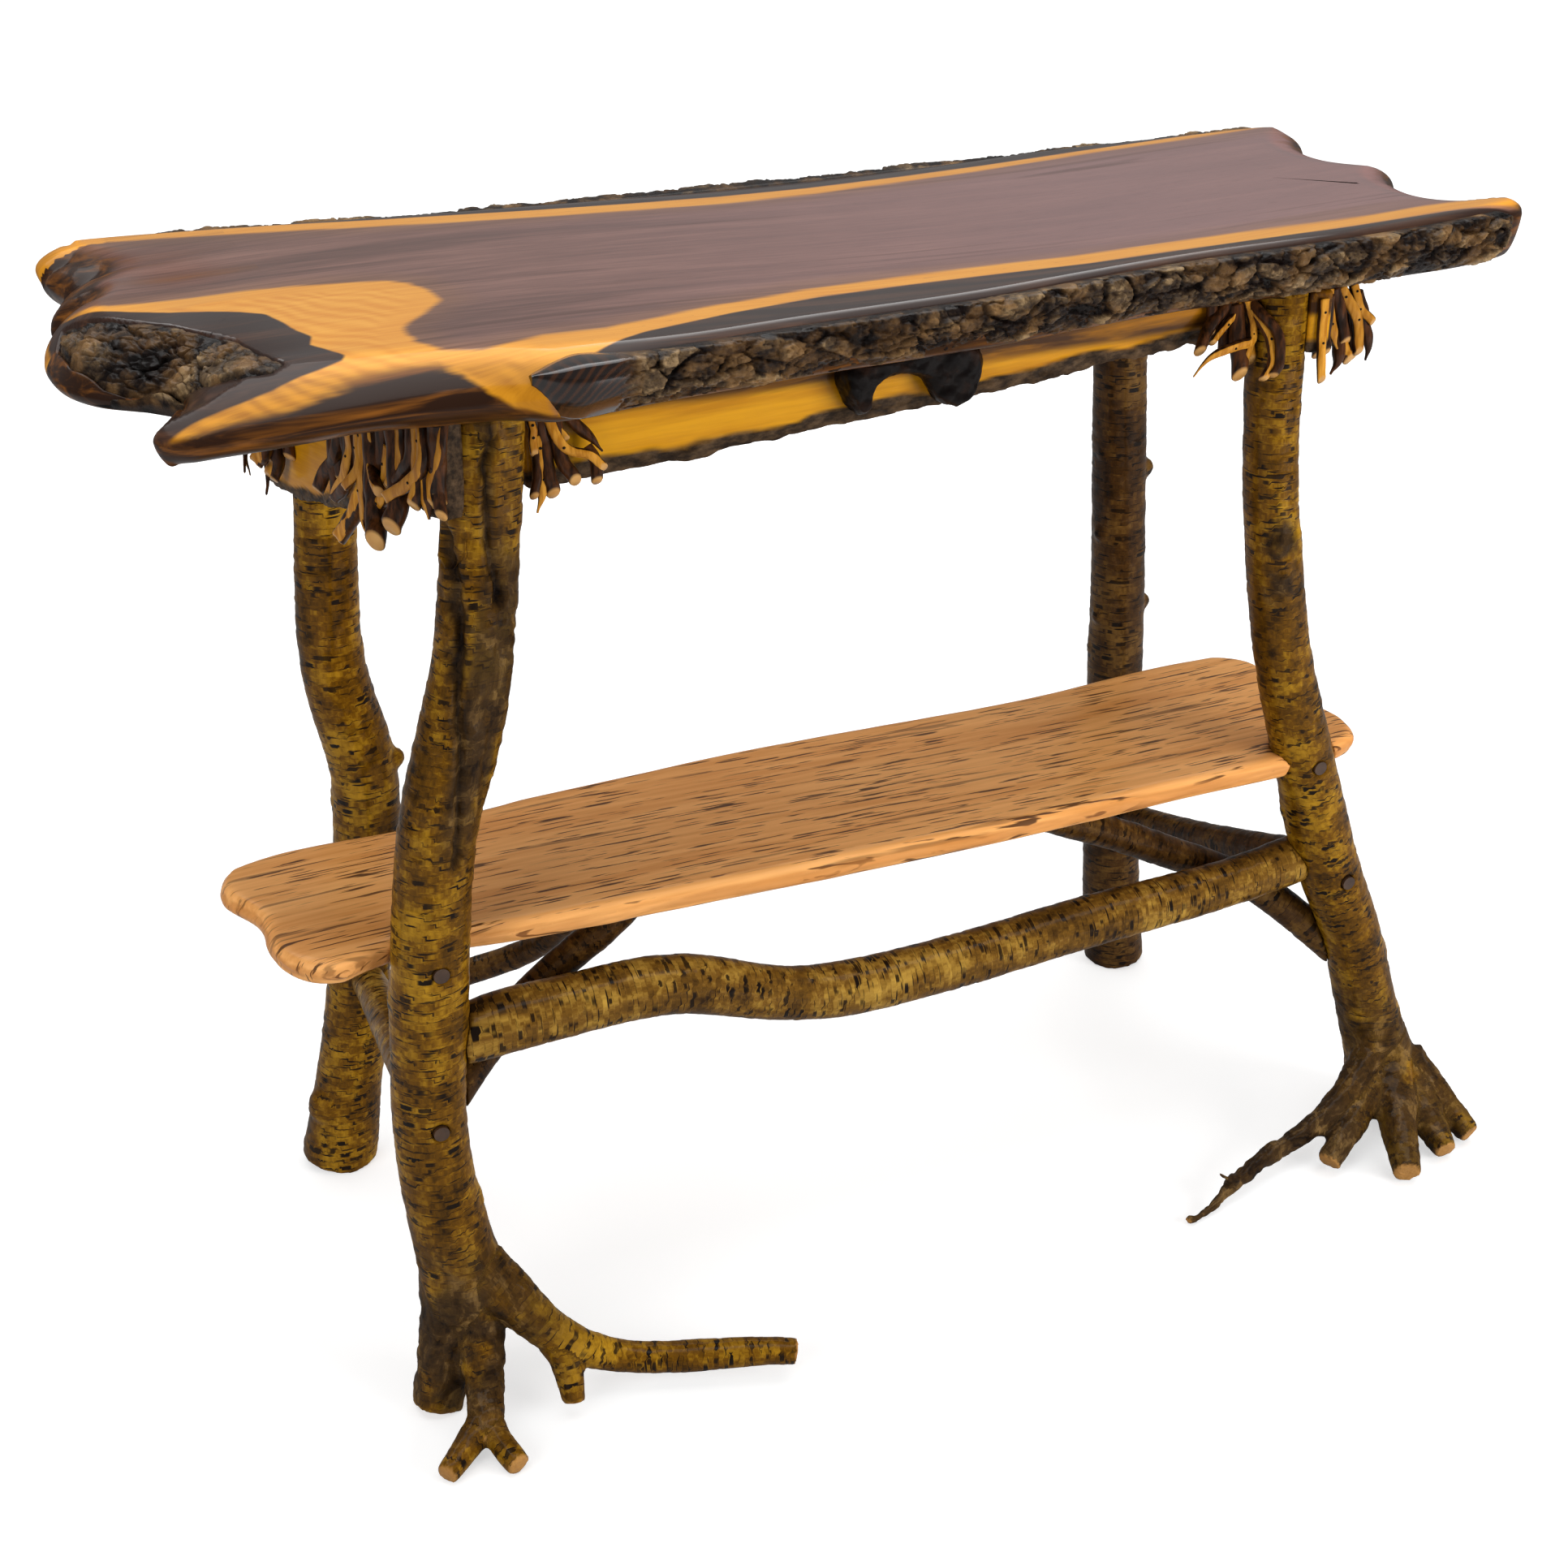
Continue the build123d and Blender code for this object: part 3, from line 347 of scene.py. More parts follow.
class Look:
    """A material whose nodes are added one at a time."""

    def __init__(self, name, roughness=0.5, coat=0.0, coat_roughness=0.1, specular=0.5):
        self.material = bpy.data.materials.new(name)
        self.material.use_nodes = True
        self.tree = self.material.node_tree
        self.shader = self.tree.nodes["Principled BSDF"]
        self.shader.inputs["Roughness"].default_value = roughness
        self.shader.inputs["Coat Weight"].default_value = coat
        self.shader.inputs["Coat Roughness"].default_value = coat_roughness
        self.shader.inputs["Specular IOR Level"].default_value = specular

    def node(self, kind, settings=None, sockets=None, output=0):
        """Add a node, set it up, feed its sockets and give its output."""
        made = self.tree.nodes.new(kind)
        for key, value in (settings or {}).items():
            if key == "stops":
                ramp = made.color_ramp
                for place, colour in value[2:]:
                    ramp.elements.new(place)
                for element, (place, colour) in zip(ramp.elements, sorted(value)):
                    element.position = place
                    element.color = (*colour, 1)
            else:
                setattr(made, key, value)
        for key, value in (sockets or {}).items():
            socket = made.inputs[key]
            if isinstance(value, Value):
                self.tree.links.new(value.socket, socket)
            else:
                socket.default_value = value
        return Value(self, made.outputs[output])

    def maths(self, operation, *values):
        """Number that a Math node gives."""
        return self.node("ShaderNodeMath", {"operation": operation}, dict(enumerate(values)))

    def place(self):
        """Point on the object, in metres."""
        return self.node("ShaderNodeTexCoord", output="Object")

    def carried(self, name, vector=False):
        """Number or vector that the mesh carries on its points."""
        output = "Vector" if vector else "Fac"
        return self.node("ShaderNodeAttribute", {"attribute_name": name}, output=output)

    def stretch(self, vector, scale):
        """Vector times a scale for each axis."""
        return self.node("ShaderNodeVectorMath", {"operation": "MULTIPLY"}, {0: vector, 1: scale})

    def shift(self, vector, offset):
        """Vector plus another."""
        return self.node("ShaderNodeVectorMath", {"operation": "ADD"}, {0: vector, 1: offset})

    def grain(self, vector, scale, detail=4.0, roughness=0.55, distortion=0.0):
        """Fractal noise from 0 to 1, with so many waves to the metre along each axis."""
        return self.node("ShaderNodeTexNoise", None,
                         {"Vector": self.stretch(vector, scale), "Scale": 1.0, "Detail": detail,
                          "Roughness": roughness, "Distortion": distortion})

    def cells(self, vector, scale):
        """Scattered cells, so many to the metre along each axis: distance to the nearest centre."""
        return self.node("ShaderNodeTexVoronoi", None,
                         {"Vector": self.stretch(vector, scale), "Scale": 1.0}, output="Distance")

    def ramp(self, factor, *stops):
        """Colour ramp; each stop is a place and a colour."""
        return self.node("ShaderNodeValToRGB", {"stops": list(stops)}, {"Fac": factor})

    def mix(self, factor, first, second, blend="MIX"):
        """Blend of two colours."""
        made = self.tree.nodes.new("ShaderNodeMix")
        made.data_type = "RGBA"
        made.blend_type = blend
        for socket, value in ((made.inputs[0], factor), (made.inputs[6], first), (made.inputs[7], second)):
            if isinstance(value, Value):
                self.tree.links.new(value.socket, socket)
            elif isinstance(value, tuple):
                socket.default_value = (*value, 1)
            else:
                socket.default_value = value
        return Value(self, made.outputs[2])

    def finish(self, colour=None, roughness=None, height=None, bump=0.4, reach=0.001, coat=None):
        """Feed the shader, and turn a height into bumps."""
        for key, value in (("Base Color", colour), ("Roughness", roughness), ("Coat Weight", coat)):
            if value is not None:
                self.tree.links.new(value.socket, self.shader.inputs[key])
        if height is not None:
            made = self.node("ShaderNodeBump", None, {"Height": height, "Strength": bump, "Distance": reach},
                             output="Normal")
            self.tree.links.new(made.socket, self.shader.inputs["Normal"])
        return self.material


# ------------------------------------------------------------------ looks
def bark_look(name, dark, mid, gold, lenticels=1.0):
    """Smooth branch bark: golden brown, mottled along the branch, with dark dashes that run round it."""
    look = Look(name, roughness=0.42, coat=0.16, coat_roughness=0.06, specular=0.10)
    skin = look.carried("skin", vector=True)
    mottle = look.grain(skin, (17, 17, 9), 5, 0.62, 0.4)
    streaks = look.grain(skin, (30, 30, 120), 5, 0.7, 0.3)
    blotch = look.grain(skin, (42, 42, 36), 6, 0.7, 0.8)
    speck = look.grain(skin, (190, 190, 320), 4, 0.65)
    tone = (mottle * 0.50 + streaks * 0.26 + blotch * 0.24 + (speck - 0.5) * 0.22).band(0.33, 0.67)
    colour = look.ramp(tone, (0.0, dark), (1.0, gold), (0.45, mid))
    colour = look.mix(blotch.band(0.60, 0.76) * 0.55, colour, dark)
    dashes = look.cells(skin, (44, 44, 230))
    marks = dashes.band(0.31, 0.22) * look.grain(skin, (24, 24, 30), 2).band(0.38, 0.50)
    thin = look.grain(skin, (58, 58, 430), 2, 0.5)
    fine = thin.band(0.59, 0.645) * 0.9
    lines = look.maths("MAXIMUM", marks, fine) * lenticels
    colour = look.mix(lines, colour, (0.008, 0.004, 0.002))
    rough = look.carried("rough")
    scaly = look.ramp(blotch, (0.36, (0.006, 0.003, 0.002)), (0.74, (0.260, 0.150, 0.050)),
                      (0.54, (0.050, 0.026, 0.009)))
    colour = look.mix(rough, colour, scaly)
    cut = look.carried("cut")
    rims = look.grain(skin, (500, 500, 40), 2)
    colour = look.mix(cut, colour, look.mix(rims, (0.34, 0.15, 0.035), (0.52, 0.27, 0.08)))
    height = streaks * 0.3 + blotch * 0.45 + speck * 0.25 - lines * 0.5 + rough * blotch * 1.4
    return look.finish(colour, roughness=0.30 + rough * 0.3 + blotch * 0.2, height=height, bump=0.55,
                       reach=0.0014)


def board_look(name, pale, deep, brown, streak, streaks=0.0):
    """Live-edge board: yellow wood with fine grain along X, brown heartwood and painted shade of the slab
    along its top, and dark bark on its edge.
    """
    look = Look(name, roughness=0.36, coat=0.14, coat_roughness=0.08, specular=0.15)
    place = look.carried("wood", vector=True)
    fine = look.grain(place, (9, 160, 160), 4, 0.6)
    broad = look.grain(place, (3.0, 28, 28), 3, 0.5, 0.4)
    colour = look.mix((fine * 0.5 + broad * 0.5).band(0.35, 0.65), pale, deep)
    if streaks:
        dashes = look.grain(place, (24, 400, 60), 2, 0.45)
        patchy = look.grain(place, (7, 10, 10), 2)
        marks = dashes.band(0.585, 0.645) * patchy.band(0.30, 0.46)
        long_marks = look.grain(place, (5, 120, 60), 3, 0.5).band(0.62, 0.70) * 0.55
        colour = look.mix(look.maths("MAXIMUM", marks * streaks, long_marks), colour, streak)
    # Where the mesh carries heart, a board turns brown: heartwood, and painted shadow that the slab casts
    # along its top.
    shade = look.grain(place, (6, 60, 60), 4, 0.6, 0.5)
    heartwood_and_shade = look.mix(shade.band(0.45, 0.80), brown, deep)
    colour = look.mix((look.carried("heart") + (shade - 0.5) * 0.5).band(0.30, 0.70), colour, heartwood_and_shade)
    rough = look.carried("rough")
    crust = look.grain(place, (60, 120, 120), 5, 0.65)
    bark = look.mix(crust.band(0.35, 0.75), (0.016, 0.009, 0.005), (0.12, 0.07, 0.035))
    colour = look.mix(rough, colour, bark)
    height = fine * 0.12 + rough * crust * 1.5
    return look.finish(colour, roughness=0.32 + rough * 0.35, height=height, bump=0.4, reach=0.001)


def slab_look():
    """Polished walnut: brown heart wood with flowing grain and a painted pinkish reflection to the right,
    yellow sapwood, a nearly black smooth rim, and sides of darker wood deepened by painted shade.
    """
    look = Look("polished_walnut", roughness=0.30, coat=1.0, coat_roughness=0.045, specular=0.15)
    wood = look.carried("wood", vector=True)
    fine = look.grain(wood, (14, 330, 40), 5, 0.62)
    flow = look.grain(wood, (2.2, 21, 8), 4, 0.55, 0.9)
    figure = look.node("ShaderNodeTexWave", {"wave_type": "BANDS", "bands_direction": "DIAGONAL",
                                             "wave_profile": "SIN"},
                       {"Vector": look.stretch(wood, (1.0, 0.75, 1.0)), "Scale": 34.0, "Distortion": 11.0,
                        "Detail": 2.0, "Detail Scale": 0.45, "Detail Roughness": 0.5})
    painted_sheen_x = look.node("ShaderNodeSeparateXYZ", None, {"Vector": wood}, output=0)
    tone = (fine * 0.45 + flow * 0.55).band(0.31, 0.69)
    heart = look.ramp(tone, (0.0, (0.085, 0.034, 0.022)), (1.0, (0.285, 0.140, 0.105)),
                      (0.5, (0.178, 0.080, 0.058)))
    # Towards the right the heart turns pinkish grey: a painted reflection of the bright surroundings, on top
    # of the coat's own.
    heart = look.mix(painted_sheen_x.band(-0.50, 0.35) * 0.66, heart, (0.350, 0.195, 0.190))
    pores = look.grain(wood, (40, 900, 100), 2).band(0.60, 0.70)
    heart = look.mix(pores * 0.30, heart, (0.055, 0.022, 0.015))
    veins = look.grain(wood, (1.6, 34, 8), 3, 0.5, 1.2)
    heart = look.mix(veins.band(0.58, 0.70) * 0.55, heart, (0.090, 0.034, 0.022))
    sap_depth = look.carried("sap")
    wide = sap_depth.band(0.014, 0.026)
    sap_tone = (fine * 0.55 + (figure - 0.5) * wide * 0.20 + flow * 0.45).band(0.22, 0.78)
    sapwood = look.mix(sap_tone, (0.780, 0.285, 0.018), (0.980, 0.450, 0.055))
    level = look.node("ShaderNodeSeparateXYZ", None, {"Vector": look.place()}, output=2)
    deep_sap = look.mix(sap_tone, (0.340, 0.120, 0.005), (0.640, 0.270, 0.014))
    sapwood = look.mix(level.band(0.8392, 0.832), sapwood, deep_sap)
    sap = sap_depth * 100.0
    edge_noise = (flow - 0.5) * 1.2 + (fine - 0.5) * 0.3
    sap_mask = (sap + edge_noise * 1.25).band(-0.40, 0.40)
    halo = (sap + edge_noise * 2.0).band(-3.4, 0.2)
    heart = look.mix(halo * 0.40, heart, look.mix(tone, (0.170, 0.070, 0.026), (0.340, 0.160, 0.060)))
    colour = look.mix(sap_mask, heart, sapwood)
    dark = look.carried("dark") * 100.0
    rim_streaks = look.grain(wood, (5, 60, 120), 4, 0.6, 0.6)
    rim = look.mix(rim_streaks.band(0.45, 0.75), (0.030, 0.015, 0.011), (0.090, 0.040, 0.022))
    colour = look.mix((dark + (flow - 0.5) * 0.5).band(-0.12, 0.16), colour, rim)
    # Below a height the sides take a streaked darker wood colour, deepened into painted shade on the
    # undersides and on the horn's flank.
    under = look.carried("under") * 100.0
    side_wood_and_shade = look.mix(rim_streaks.band(0.42, 0.78), (0.022, 0.0085, 0.004), (0.230, 0.078, 0.010))
    colour = look.mix((under + (rim_streaks - 0.5) * 1.4).band(-0.35, 0.55), colour, side_wood_and_shade)
    height = fine * 0.05 - pores * 0.06
    coat = 0.12 + level.band(0.8385, 0.8399) * 0.88
    return look.finish(colour, roughness=0.26 + fine * 0.1, height=height, bump=0.12, reach=0.0006, coat=coat)


def rough_bark_look():
    """Furrowed walnut bark under varnish: black cracks, grey-brown plates, tan crests and a worn nose."""
    look = Look("furrowed_walnut_bark", roughness=0.5, coat=0.25, coat_roughness=0.12, specular=0.12)
    place = look.place()
    lift = look.carried("lift")
    patch = look.carried("patch")
    smooth = look.carried("smooth")
    broad = look.grain(place, (30, 30, 40), 4, 0.6, 0.5)
    crumbs = look.grain(place, (170, 170, 210), 6, 0.72, 0.4)
    tone = (lift * 0.46 + crumbs * 0.50 + broad * 0.25 + (patch - 0.5) * 0.16).band(0.30, 0.98)
    colour = look.ramp(tone, (0.0, (0.003, 0.002, 0.0015)), (1.0, (0.400, 0.265, 0.130)),
                       (0.34, (0.008, 0.004, 0.003)), (0.56, (0.034, 0.020, 0.011)),
                       (0.78, (0.110, 0.068, 0.033)))
    warm = look.grain(place, (38, 38, 38), 3)
    warm_bark = look.mix(tone, (0.022, 0.008, 0.003), (0.28, 0.150, 0.055))
    colour = look.mix(warm.band(0.47, 0.62) * 0.75, colour, warm_bark)
    rings = look.node("ShaderNodeTexWave",
                      {"wave_type": "RINGS", "rings_direction": "SPHERICAL", "wave_profile": "SIN"},
                      {"Vector": look.shift(place, (0.238, 0.204, -0.798)), "Scale": 66.0, "Distortion": 3.0,
                       "Detail": 2.0, "Detail Scale": 0.7})
    worn = look.mix(rings.band(0.30, 1.0), (0.010, 0.006, 0.005), (0.042, 0.015, 0.006))
    colour = look.mix(smooth, colour, worn)
    height = (crumbs * 0.9 + look.grain(place, (480, 480, 480), 3) * 0.35) * (1.0 - smooth)
    return look.finish(colour, roughness=0.34 + crumbs * 0.28 - smooth * 0.26, height=height, bump=0.9,
                       reach=0.0022, coat=smooth * 0.75 + 0.25)


def plain_wood_look(name, pale, deep, scale=(9, 120, 120), roughness=0.45, coat=0.2):
    """Planed or turned wood with fine grain along X."""
    look = Look(name, roughness=roughness, coat=coat, coat_roughness=0.15)
    place = look.place()
    fine = look.grain(place, scale, 4, 0.6)
    broad = look.grain(place, tuple(s * 0.2 for s in scale), 3, 0.5, 0.5)
    colour = look.mix((fine * 0.5 + broad * 0.5).band(0.34, 0.66), pale, deep)
    return look.finish(colour, roughness=roughness + fine * 0.1, height=fine, bump=0.15, reach=0.0006)


def twig_look():
    """Shaved twig: yellow where it is shaved, dark bark behind and tan at its cut end."""
    look = Look("shaved_twig", roughness=0.36, coat=0.28, coat_roughness=0.06, specular=0.15)
    place = look.place()
    bare = look.carried("bare")
    cut = look.carried("cut")
    tint = look.carried("tint")
    fine = look.grain(place, (260, 260, 45), 4, 0.6)
    wood = look.mix(fine.band(0.35, 0.65), (0.400, 0.150, 0.008), (0.640, 0.290, 0.032))
    wood = look.mix(look.maths("MAXIMUM", tint, 0.0) * 0.40, wood, (0.180, 0.060, 0.006))
    bark = look.mix(fine.band(0.35, 0.7), (0.014, 0.006, 0.003), (0.085, 0.028, 0.008))
    colour = look.mix((bare + (fine - 0.5) * 0.5).band(0.38, 0.58), bark, wood)
    rings = look.cells(place, (90, 90, 90))
    colour = look.mix(cut, colour, look.mix(rings, (0.640, 0.360, 0.120), (0.480, 0.230, 0.060)))
    colour = look.mix(tint.band(-1.0, -2.0), colour, (0.006, 0.004, 0.003))
    return look.finish(colour, roughness=0.34 + fine * 0.15, height=fine, bump=0.3, reach=0.0006)


def burl_look():
    """Nearly black polished burl with brown eyes."""
    look = Look("dark_burl", roughness=0.42, coat=0.10, coat_roughness=0.15, specular=0.15)
    place = look.place()
    knots = look.cells(place, (75, 75, 75))
    swirl = look.grain(place, (60, 60, 60), 5, 0.6, 1.2)
    colour = look.ramp((swirl * 0.7 + knots * 0.4).band(0.25, 0.9), (0.0, (0.002, 0.001, 0.001)),
                       (1.0, (0.022, 0.010, 0.006)), (0.55, (0.005, 0.003, 0.0025)))
    return look.finish(colour, roughness=0.34 + swirl * 0.2, height=swirl, bump=0.5, reach=0.0016)


def steel_look():
    """Zinc-plated screw steel."""
    look = Look("screw_steel", roughness=0.35)
    look.shader.inputs["Metallic"].default_value = 1.0
    worn = look.grain(look.place(), (900, 900, 900), 3)
    colour = look.mix(worn, (0.45, 0.45, 0.47), (0.62, 0.62, 0.64))
    return look.finish(colour, roughness=0.28 + worn * 0.2)


# ------------------------------------------------------------------ walnut slab
SPINE_ENDS = (-0.425, 0.415)
SPINE_Y = 0.032
RIGHT_END_X = 0.48              # right of this the edge is the slab's right end
LEFT_END_X = -0.40              # left of this the far half's edge is the slab's left end
LOBE_X = -0.490                 # left of this the far edge is the left lobe, all sapwood
HORN_X = -0.262                 # left of this the near edge is the horn
NEAR_SAP_X = -0.285             # left of this the near line of sapwood gives way to the Y
OUTSIDE = -0.05                 # stands for a point well outside a zone
# Lines of the sapwood along the far and near edge, and outlines of the Y of sapwood, of the dark wood round
# the crotch and of the bark grown into it, as (x, y).
FAR_SAP = [(-620, 190), (-560, 204), (-540, 215), (-526, 222), (-508, 227), (-488, 228), (-429, 217),
           (-365, 204), (-300, 190), (-233, 178), (-166, 166), (-95, 156), (-23, 148), (53, 146),
           (137, 152), (226, 162), (322, 177), (421, 190), (527, 205), (640, 224)]
NEAR_SAP = [(-300, -196), (-285, -184), (-219, -157), (-148, -140), (-77, -129), (-8, -127), (62, -128),
            (135, -130), (213, -126), (293, -123), (377, -120), (468, -112), (532, -111), (640, -104)]
Y_SAP = [(-549, 97), (-537, 60), (-518, 41), (-494, 37), (-463, 36), (-431, 38), (-392, 37), (-361, 31),
         (-333, 24), (-318, 11), (-313, -12), (-311, -38), (-326, -59), (-342, -79), (-351, -91),
         (-354, -106), (-354, -128), (-345, -148), (-320, -158), (-299, -153), (-277, -147), (-235, -150),
         (-240, -176), (-262, -183), (-285, -192), (-300, -216), (-340, -240), (-560, -240), (-640, -100),
         (-640, 90)]
CROTCH_DARK = [(-552, 82), (-540, 52), (-521, 30), (-483, 8), (-460, 0), (-441, -10), (-427, -22),
               (-421, -45), (-418, -68), (-412, -85), (-417, -103), (-403, -135), (-407, -142),
               (-424, -149), (-437, -153), (-456, -162), (-478, -168), (-495, -171), (-510, -172),
               (-522, -175), (-540, -178), (-560, -140), (-510, -110), (-490, -80), (-520, -48),
               (-543, -33), (-557, -12), (-561, 12), (-560, 46)]
CROTCH_BARK = [(-549, 52), (-536, 34), (-517, 10), (-489, -20), (-472, -45), (-456, -70), (-450, -98),
               (-444, -121), (-440, -134), (-454, -146), (-470, -141), (-487, -122), (-496, -92),
               (-519, -62), (-541, -41), (-555, -10), (-558, 26)]
CROTCH_CENTRE = (-494, -56)
BARK_BURIED = 0.007             # wood under the grown-in bark lies this much lower
# Height of the border between the yellow ridge of the horn and its dark flank, darker wood with painted
# shade, by x.
HORN_SHADE = [(-540, 806), (-528, 811), (-510, 816), (-491, 820), (-466, 823), (-447, 825), (-428, 829),
              (-408, 832), (-389, 833), (-369, 835), (-352, 835), (-341, 831), (-328, 822), (-314, 812),
              (-290, 803), (-262, 797)]


def slab_edge():
    """Closed line round the slab, evenly spaced, that carries the last three numbers of SLAB_EDGE."""
    return evenly(smooth_line(SLAB_EDGE, 2400, closed=True), 861, 2)[:-1] * MM


def slab_top_height(points, edge):
    """Height of the slab's upper face: flat, rolling over at the edge in a quarter ellipse that deeper rolls
    blend with a slope.

    The width and fall of the roll are blended between the two edge points next to the nearest place.
    """
    count = len(edge)
    best = np.full(len(points), 1e9)
    rolls = np.zeros((len(points), 2))
    for first in range(0, len(points), CHUNK):
        chunk = slice(first, first + CHUNK)
        part = points[chunk]
        away = np.hypot(part[:, None, 0] - edge[None, :, 0], part[:, None, 1] - edge[None, :, 1])
        nearest = away.argmin(axis=1)
        for step in (-1, 0):
            start, end = edge[(nearest + step) % count], edge[(nearest + step + 1) % count]
            run = end[:, :2] - start[:, :2]
            share = ((part - start[:, :2]) * run).sum(axis=1) / (run * run).sum(axis=1)
            share = np.clip(share, 0, 1)[:, None]
            reach = np.linalg.norm(part - start[:, :2] - share * run, axis=1)
            closer = reach < best[chunk]
            best[chunk] = np.where(closer, reach, best[chunk])
            own = start[:, 3:5] + share * (end[:, 3:5] - start[:, 3:5])
            rolls[chunk] = np.where(closer[:, None], own, rolls[chunk])
    roll, fall = rolls[:, 0], rolls[:, 1]
    inward = 1 - np.clip(best / roll, 0, 1)
    sloped = ease(fall, 0.022, 0.036) * 0.5
    return TABLE_TOP - fall * ((1 - np.sqrt(1 - inward ** 2)) * (1 - sloped) + inward ** 1.5 * sloped)


def slab_upper_rows(edge, spine):
    """Rows of the upper face from the spine out to the edge, closer towards the edge.

    On the left end absolute noise presses waves into the face and leaves creases between scoops on the roll.
    """
    rows = []
    for share in 1 - (1 - np.linspace(0.0, 1.0, 62)) ** 1.35:
        rows.append(np.column_stack([spine + (edge[:, :2] - spine) * share, np.full(len(edge), TABLE_TOP)]))
    top = np.stack(rows)
    top[..., 2] = slab_top_height(top.reshape(-1, 3)[:, :2], edge).reshape(top.shape[:2])
    flat = top * (1, 1, 0)
    leftward = -top[..., 0]
    waves = np.abs(noise(flat, (0.09, 0.05, 1), 4)) * ease(leftward, 0.36, 0.50)
    creases = np.abs(noise(flat + (0.3, 0, 0), (0.06, 0.045, 1), 14))
    scoops = (0.0055 - 0.014 * np.clip(creases, 0, 0.4)) * ease(TABLE_TOP - top[..., 2], 0.0008, 0.006)
    scooped = ease(leftward, 0.44, 0.52) * ease(top[..., 1], 0.05, 0.1)
    top[..., 2] -= 0.0018 * waves + np.clip(scoops, 0, 0.01) * scooped
    return top


def slab_lower_rows(edge, spine, rim_height):
    """Rows of the side, which rolls under by a quarter turn, and of the lower face back to the spine.

    Noise varies how far the side rolls in, more so on the flank of the horn.
    """
    run = np.roll(edge[:, :2], -1, axis=0) - np.roll(edge[:, :2], 1, axis=0)
    run /= np.linalg.norm(run, axis=1)[:, None]
    inward = np.stack([-run[:, 1], run[:, 0]], axis=1)
    level_edge = np.column_stack([edge[:, :2], np.zeros(len(edge))])
    swell = 0.004 * noise(level_edge, (0.07, 0.07, 1), 9)
    flank = np.clip(noise(level_edge, (0.045, 0.09, 1), 33), -0.4, 1) * 0.007
    flank = flank * ease(-edge[:, 0], 0.27, 0.33) * ease(-edge[:, 1], 0.14, 0.17)
    rows = []
    for share in np.linspace(0, 1, 14)[1:]:
        angle = share * tau / 4
        inset = (edge[:, 2] + swell + flank * np.sin(2 * angle)) * (1 - np.cos(angle))
        z = SLAB_UNDERSIDE + (rim_height - SLAB_UNDERSIDE) * (1 - np.sin(angle) ** 1.35)
        rows.append(np.column_stack([edge[:, :2] + inward * inset[:, None], z]))
    foot = rows[-1][:, :2]
    for share in np.linspace(0, 1, 14)[1:]:
        rows.append(np.column_stack([foot + (spine - foot) * share, np.full(len(edge), SLAB_UNDERSIDE)]))
    return np.stack(rows)


def slab_zones(points):
    """How deep each point lies in the sapwood, the dark rim and the sides, whose darker wood is deepened by
    painted shade, and its place in the wood.

    The depths are metres, positive inside. The sapwood is a band about each line, the lobe and the Y; the
    dark rim lies outside the bands and round the crotch; the sides begin below a height. The place in the
    wood is the point itself, moved across by a sine of its x.
    """
    x, y, z = points.T
    flat = points[:, :2]
    far, far_side = line_distance(flat, np.array(FAR_SAP) * MM)
    near, near_side = line_distance(flat, np.array(NEAR_SAP) * MM)
    far_width = 0.0108 - 0.005 * ease(x, -0.05, 0.42)
    near_width = 0.0105 + 0.005 * ease(-x, 0.20, 0.29)
    near_band = np.where(x < NEAR_SAP_X, OUTSIDE, near_width - near)
    sap = np.maximum(np.maximum(far_width - far, near_band), outline_depth(flat, np.array(Y_SAP) * MM))
    lobe = (x < LOBE_X) & ((far_side > 0) | (far < far_width))
    sap = np.where(lobe, 0.010, sap)

    dark_far = np.where(far_side > 0, far - far_width, -far)
    dark_far = np.where(x < LOBE_X, OUTSIDE, dark_far)
    dark_near = np.where(near_side < 0, near - near_width, -near)
    dark_near = np.where(x < HORN_X, OUTSIDE, dark_near)
    dark_crotch = outline_depth(flat, np.array(CROTCH_DARK) * MM)
    dark = np.maximum(np.maximum(dark_far, dark_near), dark_crotch)

    # The sides: how far a point lies below the height where their darker wood and painted shade begin.
    shade_x, shade_z = np.array(HORN_SHADE).T * MM
    horn_side = np.interp(x, shade_x, shade_z) + 0.0012 * fractal(points, 0.035, 3, 61) - z
    left_side = np.minimum((0.8382 - z) * 1.6, (y - 0.062) * 0.6)
    left_side = np.where(lobe, 0.812 - z, left_side)
    side = np.where(x > RIGHT_END_X, (0.8360 - z) * 1.4, 0.818 - z)
    side = np.where((x < LEFT_END_X) & (y > 0.03), left_side, side)
    side = np.where((x < HORN_X) & (y < -0.13), horn_side * 1.8, side)
    wood = np.stack([x, y + 0.018 * np.sin(x * 7 + 0.6), z], axis=1)
    return {"sap": sap, "dark": dark, "under": side, "wood": wood}


def slab_piece():
    """Walnut slab: rows from a spine out to its edge, then rolled under and back to the spine below.

    Under the bark that is grown into the crotch the upper face lies lower.
    """
    edge = slab_edge()
    spine = np.stack([np.clip(edge[:, 0], *SPINE_ENDS), np.full(len(edge), SPINE_Y)], axis=1)
    top = slab_upper_rows(edge, spine)
    rows = np.concatenate([top, slab_lower_rows(edge, spine, top[-1, :, 2])])
    points = rows.reshape(-1, 3)
    upper = np.arange(len(points)) < len(top) * len(edge)
    bowl = outline_depth(points[:, :2], np.array(CROTCH_BARK) * MM)
    lowered = points[:, 2] - BARK_BURIED * ease(bowl, 0.0005, 0.004)
    lowered = np.maximum(lowered, np.minimum(points[:, 2], SLAB_UNDERSIDE + 0.0015))
    points[:, 2] = np.where(upper, lowered, points[:, 2])
    faces = sheet_faces(len(rows), len(edge), close_columns=True)
    return build("walnut_slab", points, faces, attributes=slab_zones(points))


